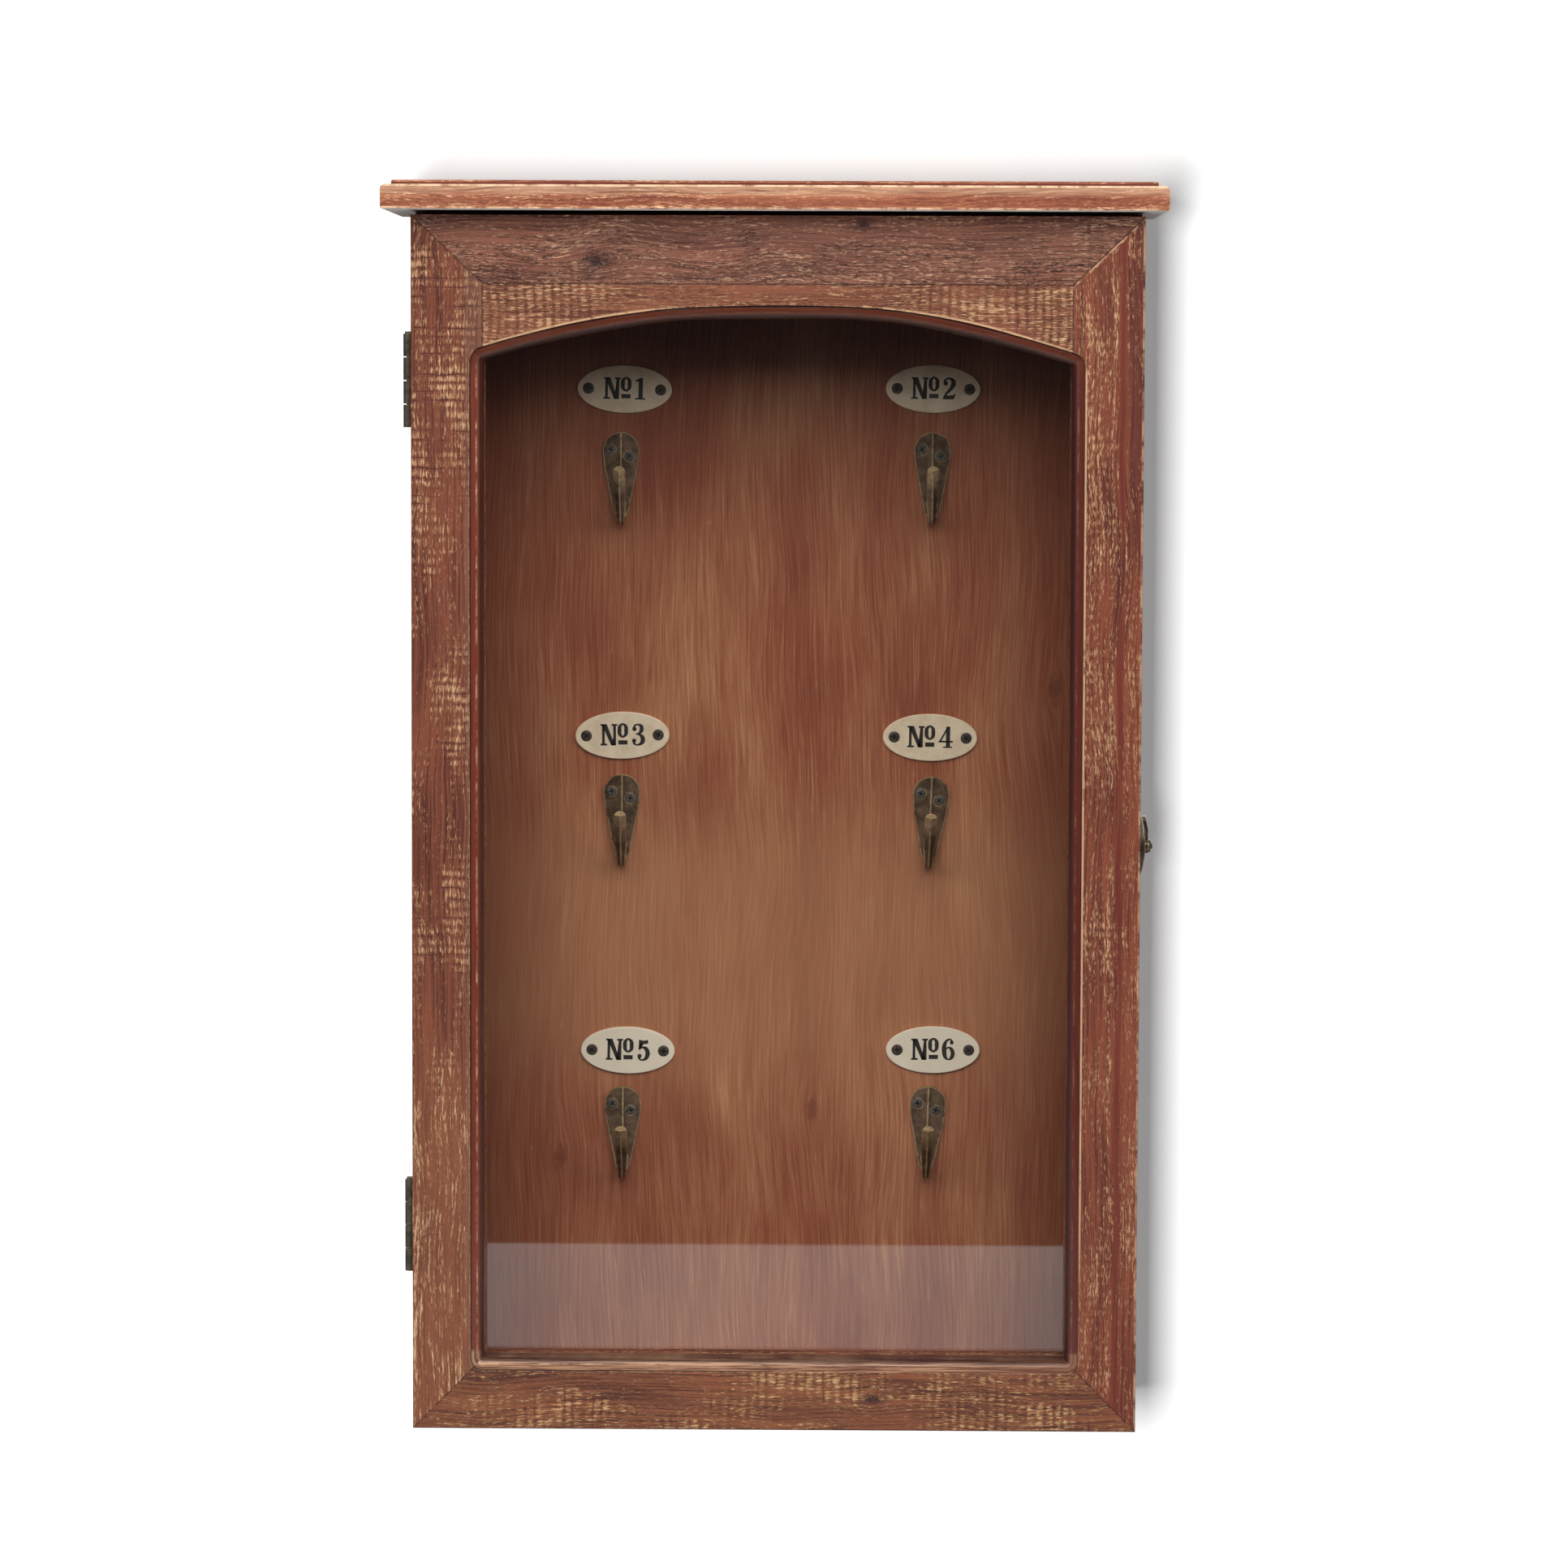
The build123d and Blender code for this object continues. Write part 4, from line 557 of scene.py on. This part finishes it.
def steel(name, dark, mid, bright, metallic, rough, recess=None):
    g = Graph(name)
    x, y, z = g.coords()
    n = g.noise(g.P, 1.4, 4.0, 0.65)
    col = g.mix(g.step(n, 0.35, 0.65), dark, mid)
    e = g.edge(0.2, 0.02, 0.2)
    col = g.mix(g.mul(e, 0.4), col, bright)
    if recess is not None:
        # painted shade in the driving recess
        col = g.mix(g.mul(g.step(y, recess - 0.02, recess + 0.06), 0.9), col, lin(16, 13, 12))
    return g.finish(col, g.mad(n, 0.2, rough), n, 0.02, 0.5, metallic=metallic)


MAT["screw"] = steel("dark_screw", lin(84, 80, 75), lin(118, 113, 106), lin(190, 182, 168), 0.5, 0.36)
MAT["screw_hook"] = steel("hook_screw", lin(80, 74, 70), lin(108, 101, 96), lin(176, 168, 156), 0.45, 0.45, -6.62)
MAT["screw_plate"] = steel("number_plate_screw", lin(56, 47, 42), lin(88, 76, 68), lin(170, 156, 140), 0.5, 0.36, -6.07)
MAT["screw_dull"] = steel("plate_screw", lin(46, 38, 33), lin(74, 63, 55), lin(140, 126, 110), 0.5, 0.40)
MAT["zinc"] = steel("zinc_plate", lin(128, 128, 124), lin(176, 176, 172), lin(220, 220, 216), 0.85, 0.4)


def glass():
    g = Graph("pane_glass")
    g.coords()
    smear = g.noise(g.P, 0.02, 3.0, 0.6)
    tr = g.node("ShaderNodeBsdfTransparent", {"Color": (0.985, 0.99, 0.985, 1.0)})
    gl = g.node("ShaderNodeBsdfGlossy", {"Color": (1, 1, 1, 1), "Roughness": 0.012})
    lw = g.node("ShaderNodeLayerWeight", {"Blend": 0.5})
    graze = g.m("POWER", lw.outputs["Facing"], 5.0)
    mx = g.node("ShaderNodeMixShader", {0: g.mad(graze, 0.955, g.mad(smear, 0.006, 0.042))})
    g.t.links.new(tr.outputs[0], mx.inputs[1])
    g.t.links.new(gl.outputs[0], mx.inputs[2])
    g.t.links.new(mx.outputs[0], g.out.inputs[0])
    return g.mat


MAT["glass"] = glass()


# ------------------------------------------------------------------ dress the CAD nodes
def dress(name, mat, bevel=None, slot=None):
    o = NODES[name]
    o.data.materials.clear()
    o.data.materials.append(MAT[mat])
    if bevel:
        b = o.modifiers.new("soft_edges", "BEVEL")
        b.width = bevel * MM
        b.segments = 2
        b.limit_method = "ANGLE"
        b.angle_limit = math.radians(35)
        b.harden_normals = False
        b.use_clamp_overlap = True
    return o


for n, k in {
    "cap_board": "cap", "door_stile_left": "stile_l", "door_stile_right": "stile_r", "door_rail_top": "rail_t",
    "door_rail_bottom": "rail_b", "arch_board": "arch", "side_left": "carcass", "side_right": "carcass",
    "top_panel": "carcass_x", "bottom_panel": "carcass_x", "hanging_rail": "carcass_x",
    "glazing_strip_left": "carcass", "glazing_strip_right": "carcass", "glazing_strip_top": "carcass_x",
    "glazing_strip_bottom": "carcass_x", "cap_dowels": "carcass", "back_panel": "back", "glass_pane": "glass",
    "glazing_pins": "screw_dull", "back_panel_pins": "screw_dull",
    "hinge_upper_frame_leaf": "bronze_dark", "hinge_upper_door_leaf": "bronze_dark", "hinge_upper_pin": "bronze_dark",
    "hinge_lower_frame_leaf": "bronze_dark", "hinge_lower_door_leaf": "bronze_dark", "hinge_lower_pin": "bronze_dark",
    "hinge_frame_screws": "screw", "hinge_door_screws": "screw",
    "catch_plate": "catch", "catch_rivet": "catch", "catch_lever": "catch", "catch_pins": "screw_dull",
    "strike_plate": "bronze", "strike_pin": "bronze",
    "hanger_plate_left": "zinc", "hanger_plate_right": "zinc", "hanger_screws": "zinc",
    "key_hook_screws": "screw_hook", "number_plate_screws": "screw_plate",
}.items():
    dress(n, k)
dress("cap_board", "cap", 0.55)
for i in range(1, 7):
    dress("key_hook_%d" % i, "hook_%d" % i, 0.3)
    dress("number_plate_%d" % i, "enamel")


# ------------------------------------------------------------------ numbers on the plates
def smooth(points, n=6, closed=False):
    """Catmull-Rom through the points."""
    out = []
    P = points
    L = len(P)
    for i in range(L - 1 if not closed else L):
        p0 = P[(i - 1) % L] if (closed or i > 0) else P[0]
        p1, p2 = P[i], P[(i + 1) % L]
        p3 = P[(i + 2) % L] if (closed or i + 2 < L) else P[-1]
        for k in range(n):
            t = k / n
            out.append(tuple(
                0.5 * ((2 * b) + (-a + c) * t + (2 * a - 5 * b + 4 * c - d) * t * t + (-a + 3 * b - 3 * c + d) * t ** 3)
                for a, b, c, d in zip(p0, p1, p2, p3)))
    if not closed:
        out.append(tuple(P[-1]))
    return out


class Glyphs:
    def __init__(self):
        self.bm = bmesh.new()
        self.place = lambda u, v: (u, 0.0, v)

    def poly(self, pts):
        self.bm.faces.new([self.bm.verts.new(self.place(*p)) for p in pts])

    def stroke(self, pts, closed=False, n=7):
        """pts: (x, y, width) swept as a band of that width across the path."""
        s = smooth(pts, n, closed)
        m = len(s)
        lo, hi = [], []
        for i, p in enumerate(s):
            a = s[(i - 1) % m] if (closed or i > 0) else s[i]
            b = s[(i + 1) % m] if (closed or i < m - 1) else s[i]
            dx, dy = b[0] - a[0], b[1] - a[1]
            l = math.hypot(dx, dy) or 1.0
            nx, ny = -dy / l, dx / l
            w = p[2] / 2
            lo.append((p[0] - nx * w, p[1] - ny * w))
            hi.append((p[0] + nx * w, p[1] + ny * w))
        vl = [self.bm.verts.new(self.place(*q)) for q in lo]
        vh = [self.bm.verts.new(self.place(*q)) for q in hi]
        for i in range(m if closed else m - 1):
            j = (i + 1) % m
            self.bm.faces.new([vl[i], vl[j], vh[j], vh[i]])

    def disc(self, x, y, r, n=18):
        self.poly([(x + r * math.cos(2 * math.pi * k / n), y + r * math.sin(2 * math.pi * k / n)) for k in range(n)])


def draw(g, ch, ox, k):
    """One character, cap height 1, left edge at ox, in units of k."""
    def T(pts): return [(ox + p[0] * k, p[1] * k) + tuple(q * k for q in p[2:]) for p in pts]
    def bar(x0, y0, x1, y1): g.poly(T([(x0, y0), (x1, y0), (x1, y1), (x0, y1)]))
    if ch == "N":
        bar(0.075, 0.05, 0.20, 0.97); bar(0.0, 0.0, 0.31, 0.085); bar(0.52, 0.915, 0.80, 1.0)
        g.poly(T([(0.0, 1.0), (0.0, 0.93), (0.10, 0.90), (0.50, 0.0), (0.665, 0.0), (0.30, 1.0)]))
        g.poly(T([(0.50, 0.0), (0.725, 0.0), (0.725, 0.95), (0.60, 0.95), (0.60, 0.35)]))
    elif ch == "o":
        g.stroke(T([(0.235, 0.40, 0.09), (0.375, 0.52, 0.16), (0.39, 0.70, 0.185), (0.375, 0.88, 0.16), (0.235, 1.0, 0.09), (0.095, 0.88, 0.16), (0.08, 0.70, 0.185), (0.095, 0.52, 0.16)]), closed=True)
        bar(0.02, 0.04, 0.45, 0.24)
    elif ch == "1":
        bar(0.16, 0.04, 0.36, 0.98); bar(0.0, 0.0, 0.48, 0.07)
        g.poly(T([(0.0, 0.84), (0.18, 0.84), (0.36, 0.99), (0.30, 1.02), (0.16, 0.95), (0.02, 0.90)]))
    elif ch == "2":
        g.stroke(T([(0.09, 0.72, 0.10), (0.10, 0.86, 0.10), (0.26, 0.97, 0.09), (0.46, 0.87, 0.19), (0.49, 0.70, 0.22), (0.38, 0.50, 0.17), (0.20, 0.30, 0.11), (0.06, 0.09, 0.09)]))
        g.disc(*[v * k if i else ox + v * k for i, v in enumerate((0.13, 0.73))], 0.10 * k)
        g.poly(T([(0.0, 0.0), (0.52, 0.0), (0.60, 0.26), (0.55, 0.27), (0.48, 0.19), (0.30, 0.17), (0.10, 0.17), (0.0, 0.07)]))
    elif ch == "3":
        g.stroke(T([(0.09, 0.80, 0.09), (0.16, 0.93, 0.09), (0.30, 0.97, 0.08), (0.45, 0.88, 0.17), (0.45, 0.68, 0.18), (0.33, 0.55, 0.09), (0.20, 0.53, 0.06)]))
        g.stroke(T([(0.20, 0.53, 0.06), (0.36, 0.50, 0.10), (0.50, 0.36, 0.20), (0.49, 0.15, 0.20), (0.30, 0.02, 0.08), (0.13, 0.07, 0.09), (0.06, 0.20, 0.08)]))
        for dx, dy in ((0.13, 0.76), (0.11, 0.22)):
            g.disc(ox + dx * k, dy * k, 0.10 * k)
    elif ch == "4":
        bar(0.34, 0.04, 0.53, 0.98); bar(0.20, 0.0, 0.64, 0.065); bar(0.0, 0.25, 0.66, 0.335)
        g.poly(T([(0.0, 0.25), (0.09, 0.25), (0.40, 0.84), (0.53, 1.0), (0.40, 1.0)]))
    elif ch == "5":
        g.poly(T([(0.08, 0.98), (0.30, 0.93), (0.50, 0.98), (0.52, 0.80), (0.30, 0.77), (0.14, 0.80), (0.12, 0.52), (0.07, 0.50)]))
        g.stroke(T([(0.10, 0.52, 0.06), (0.24, 0.62, 0.09), (0.42, 0.55, 0.18), (0.50, 0.34, 0.21), (0.43, 0.12, 0.17), (0.26, 0.02, 0.08), (0.11, 0.08, 0.09), (0.07, 0.18, 0.08)]))
        g.disc(ox + 0.12 * k, 0.21 * k, 0.10 * k)
    elif ch == "6":
        g.stroke(T([(0.47, 0.86, 0.09), (0.37, 0.97, 0.08), (0.20, 0.90, 0.12), (0.10, 0.68, 0.19), (0.09, 0.40, 0.21), (0.14, 0.14, 0.17), (0.29, 0.02, 0.07), (0.44, 0.12, 0.17), (0.49, 0.31, 0.19), (0.43, 0.50, 0.16), (0.29, 0.59, 0.07), (0.15, 0.50, 0.08)]))
        g.disc(ox + 0.44 * k, 0.82 * k, 0.09 * k)


PLATES = [(-51.1, -39.6, 1.3), (50.6, -39.2, 0.6), (-51.7, -153.9, -0.6), (50.2, -154.2, 0.8), (-49.8, -258.9, 0.9), (51.7, -258.3, 0.0)]
WIDE = {"1": 0.48, "2": 0.58, "3": 0.58, "4": 0.66, "5": 0.58, "6": 0.58}
for i, (px, pz, lean) in enumerate(PLATES, 1):
    g = Glyphs()
    a = math.radians(-lean)

    def place(u, v, px=px, pz=pz, a=a):
        v = v - 3.3
        return ((px + u * math.cos(a) - v * math.sin(a)) * MM, -6.03 * MM, (pz + u * math.sin(a) + v * math.cos(a)) * MM)

    g.place = place
    k = 7.1
    ch = str(i)
    total = 0.81 * k + 0.47 * k + 0.18 * k + WIDE[ch] * k
    u0 = -total / 2
    draw(g, "N", u0, k)
    draw(g, "o", u0 + 0.81 * k, k)
    draw(g, ch, u0 + (0.81 + 0.47 + 0.18) * k, k)
    bmesh.ops.triangulate(g.bm, faces=g.bm.faces[:])
    me = bpy.data.meshes.new("number_%d" % i)
    # give the paint a hair of thickness so that it is a closed film, not loose faces
    bmesh.ops.recalc_face_normals(g.bm, faces=g.bm.faces[:])
    geom = bmesh.ops.extrude_face_region(g.bm, geom=g.bm.faces[:])
    for v in geom["geom"]:
        if isinstance(v, bmesh.types.BMVert):
            v.co.y = -6.00 * MM
    bmesh.ops.recalc_face_normals(g.bm, faces=g.bm.faces[:])
    g.bm.to_mesh(me)
    g.bm.free()
    o = bpy.data.objects.new("number_%d" % i, me)
    scene.collection.objects.link(o)
    me.materials.append(MAT["black"])
    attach(o, "cabinet")

# ------------------------------------------------------------------ camera
CAM = Vector((20.28, -1667.26, -41.13)) * MM
pitch, yaw, roll = math.radians(4.4283), math.radians(0.634), math.radians(0.2051)
r, u, f = Vector((1, 0, 0)), Vector((0, 0, 1)), Vector((0, 1, 0))
Rz = Matrix.Rotation(yaw, 3, "Z")
r, u, f = Rz @ r, Rz @ u, Rz @ f
f2 = f * math.cos(pitch) - u * math.sin(pitch)
u2 = u * math.cos(pitch) + f * math.sin(pitch)
r3 = r * math.cos(roll) + u2 * math.sin(roll)
u3 = u2 * math.cos(roll) - r * math.sin(roll)
cam_data = bpy.data.cameras.new("camera")
cam_data.sensor_width = 36.0
cam_data.lens = 6198.3 / 1932.0 * 36.0
cam_data.clip_start = 0.05
cam_data.clip_end = 50.0
cam = bpy.data.objects.new("camera", cam_data)
scene.collection.objects.link(cam)
M = Matrix((r3, u3, -f2)).transposed().to_4x4()
M.translation = CAM
cam.matrix_world = M
scene.camera = cam

# ------------------------------------------------------------------ stage
def plane(name, corners, mat):
    me = bpy.data.meshes.new(name)
    me.from_pydata([tuple(c) for c in corners], [], [(0, 1, 2, 3)])
    me.materials.append(mat)
    o = bpy.data.objects.new(name, me)
    scene.collection.objects.link(o)
    return o


def pale(name, glow):
    """Matt white with a little glow of its own, seen from its front only."""
    g = Graph(name)
    d = g.node("ShaderNodeBsdfDiffuse", {"Color": (0.8, 0.8, 0.8, 1)})
    e = g.node("ShaderNodeEmission", {"Color": (0.955, 1.0, 1.015, 1), "Strength": glow})
    ad = g.node("ShaderNodeAddShader")
    g.t.links.new(d.outputs[0], ad.inputs[0])
    g.t.links.new(e.outputs[0], ad.inputs[1])
    geo = g.node("ShaderNodeNewGeometry")
    tr = g.node("ShaderNodeBsdfTransparent")
    mx = g.node("ShaderNodeMixShader", {0: geo.outputs["Backfacing"]})
    g.t.links.new(ad.outputs[0], mx.inputs[1])
    g.t.links.new(tr.outputs[0], mx.inputs[2])
    g.t.links.new(mx.outputs[0], g.out.inputs[0])
    return g.mat


FLOOR_Z = -0.3745
WALL_Y = 0.004
wall = plane("stage_wall", [(-3, WALL_Y, FLOOR_Z - 0.5), (3, WALL_Y, FLOOR_Z - 0.5), (3, WALL_Y, 2.5), (-3, WALL_Y, 2.5)], pale("stage_wall", 0.245))
floor = plane("stage_floor", [(-3, -0.403, FLOOR_Z), (3, -0.403, FLOOR_Z), (3, WALL_Y, FLOOR_Z), (-3, WALL_Y, FLOOR_Z)], pale("stage_floor", 0.86))
floor.visible_camera = False
floor.visible_diffuse = False
floor.visible_shadow = False
wall.visible_shadow = False
wall.visible_diffuse = False
wall.visible_glossy = False
wall.visible_transmission = False

# ------------------------------------------------------------------ light
def area(name, loc, target, size, power, color=(1, 1, 1), size_y=None):
    d = bpy.data.lights.new(name, "AREA")
    d.shape = "RECTANGLE"
    d.size = size
    d.size_y = size_y or size
    d.energy = power
    d.color = color
    o = bpy.data.objects.new(name, d)
    scene.collection.objects.link(o)
    o.location = loc
    v = Vector(target) - Vector(loc)
    o.rotation_euler = v.to_track_quat("-Z", "Y").to_euler()
    return o


centre = (0, -0.04, -0.17)
key = area("key", (0.0, -1.90, 1.35), centre, 2.2, 44.5, (1.0, 0.985, 0.96), 2.0)
left = area("left", (-1.5, -1.15, 0.60), centre, 1.0, 11.8, (1.0, 0.985, 0.96), 1.0)
right = area("right", (1.5, -1.15, 0.60), centre, 1.0, 13.4, (1.0, 0.985, 0.96), 1.0)
fill = area("fill", (0.1, -2.2, 0.45), centre, 0.8, 1.6, (1.0, 0.99, 0.97))
fill.visible_glossy = False
back = area("back_fill", (0.3, 1.9, 0.7), centre, 1.5, 22.0, (1.0, 0.99, 0.98))
# a little light from below for the bare underside of the cap
under = area("under", (0.0, -0.9, -1.0), (0, -0.04, 0.02), 0.8, 12.5)
# the stage has its own light, low and to the left, so that the shadow falls up and to the right
wall_light = area("wall_light", (-0.29, -2.0, -0.150), (0, 0, -0.17), 0.38, 52.0, size_y=0.64)

stage_col = bpy.data.collections.new("stage_receivers")
scene.collection.children.link(stage_col)
stage_col.objects.link(wall)
stage_col.objects.link(floor)
part_col = bpy.data.collections.new("part_receivers")
scene.collection.children.link(part_col)
for o in scene.objects:
    if o.type == "MESH" and o not in (wall, floor):
        part_col.objects.link(o)
wall_light.light_linking.receiver_collection = stage_col
for o in (key, left, right, fill, back):
    o.light_linking.receiver_collection = part_col
cap_col = bpy.data.collections.new("cap_receivers")
scene.collection.children.link(cap_col)
cap_col.objects.link(NODES["cap_board"])
under.light_linking.receiver_collection = cap_col
for o in (key, left, right, fill, back, under, wall_light):
    o.visible_camera = False
wall_light.visible_glossy = False
under.visible_glossy = False

world = bpy.data.worlds.new("world")
scene.world = world
world.use_nodes = True
wt = world.node_tree
wt.nodes.clear()
wo = wt.nodes.new("ShaderNodeOutputWorld")
lp = wt.nodes.new("ShaderNodeLightPath")
bg_cam = wt.nodes.new("ShaderNodeBackground")
bg_cam.inputs[0].default_value = (1, 1, 1, 1)
bg_cam.inputs[1].default_value = 1.0
bg = wt.nodes.new("ShaderNodeBackground")
bg.inputs[0].default_value = (1, 1, 1, 1)
bg.inputs[1].default_value = 0.035
bg_gl = wt.nodes.new("ShaderNodeBackground")
bg_gl.inputs[0].default_value = (1, 1, 1, 1)
bg_gl.inputs[1].default_value = 0.035
m1 = wt.nodes.new("ShaderNodeMixShader")
m2 = wt.nodes.new("ShaderNodeMixShader")
wt.links.new(lp.outputs["Is Glossy Ray"], m1.inputs[0])
wt.links.new(bg.outputs[0], m1.inputs[1])
wt.links.new(bg_gl.outputs[0], m1.inputs[2])
wt.links.new(lp.outputs["Is Camera Ray"], m2.inputs[0])
wt.links.new(m1.outputs[0], m2.inputs[1])
wt.links.new(bg_cam.outputs[0], m2.inputs[2])
wt.links.new(m2.outputs[0], wo.inputs[0])
scene.view_settings.view_transform = "Standard"
scene.view_settings.look = "None"
scene.view_settings.exposure = 0.0
scene.view_settings.gamma = 1.0
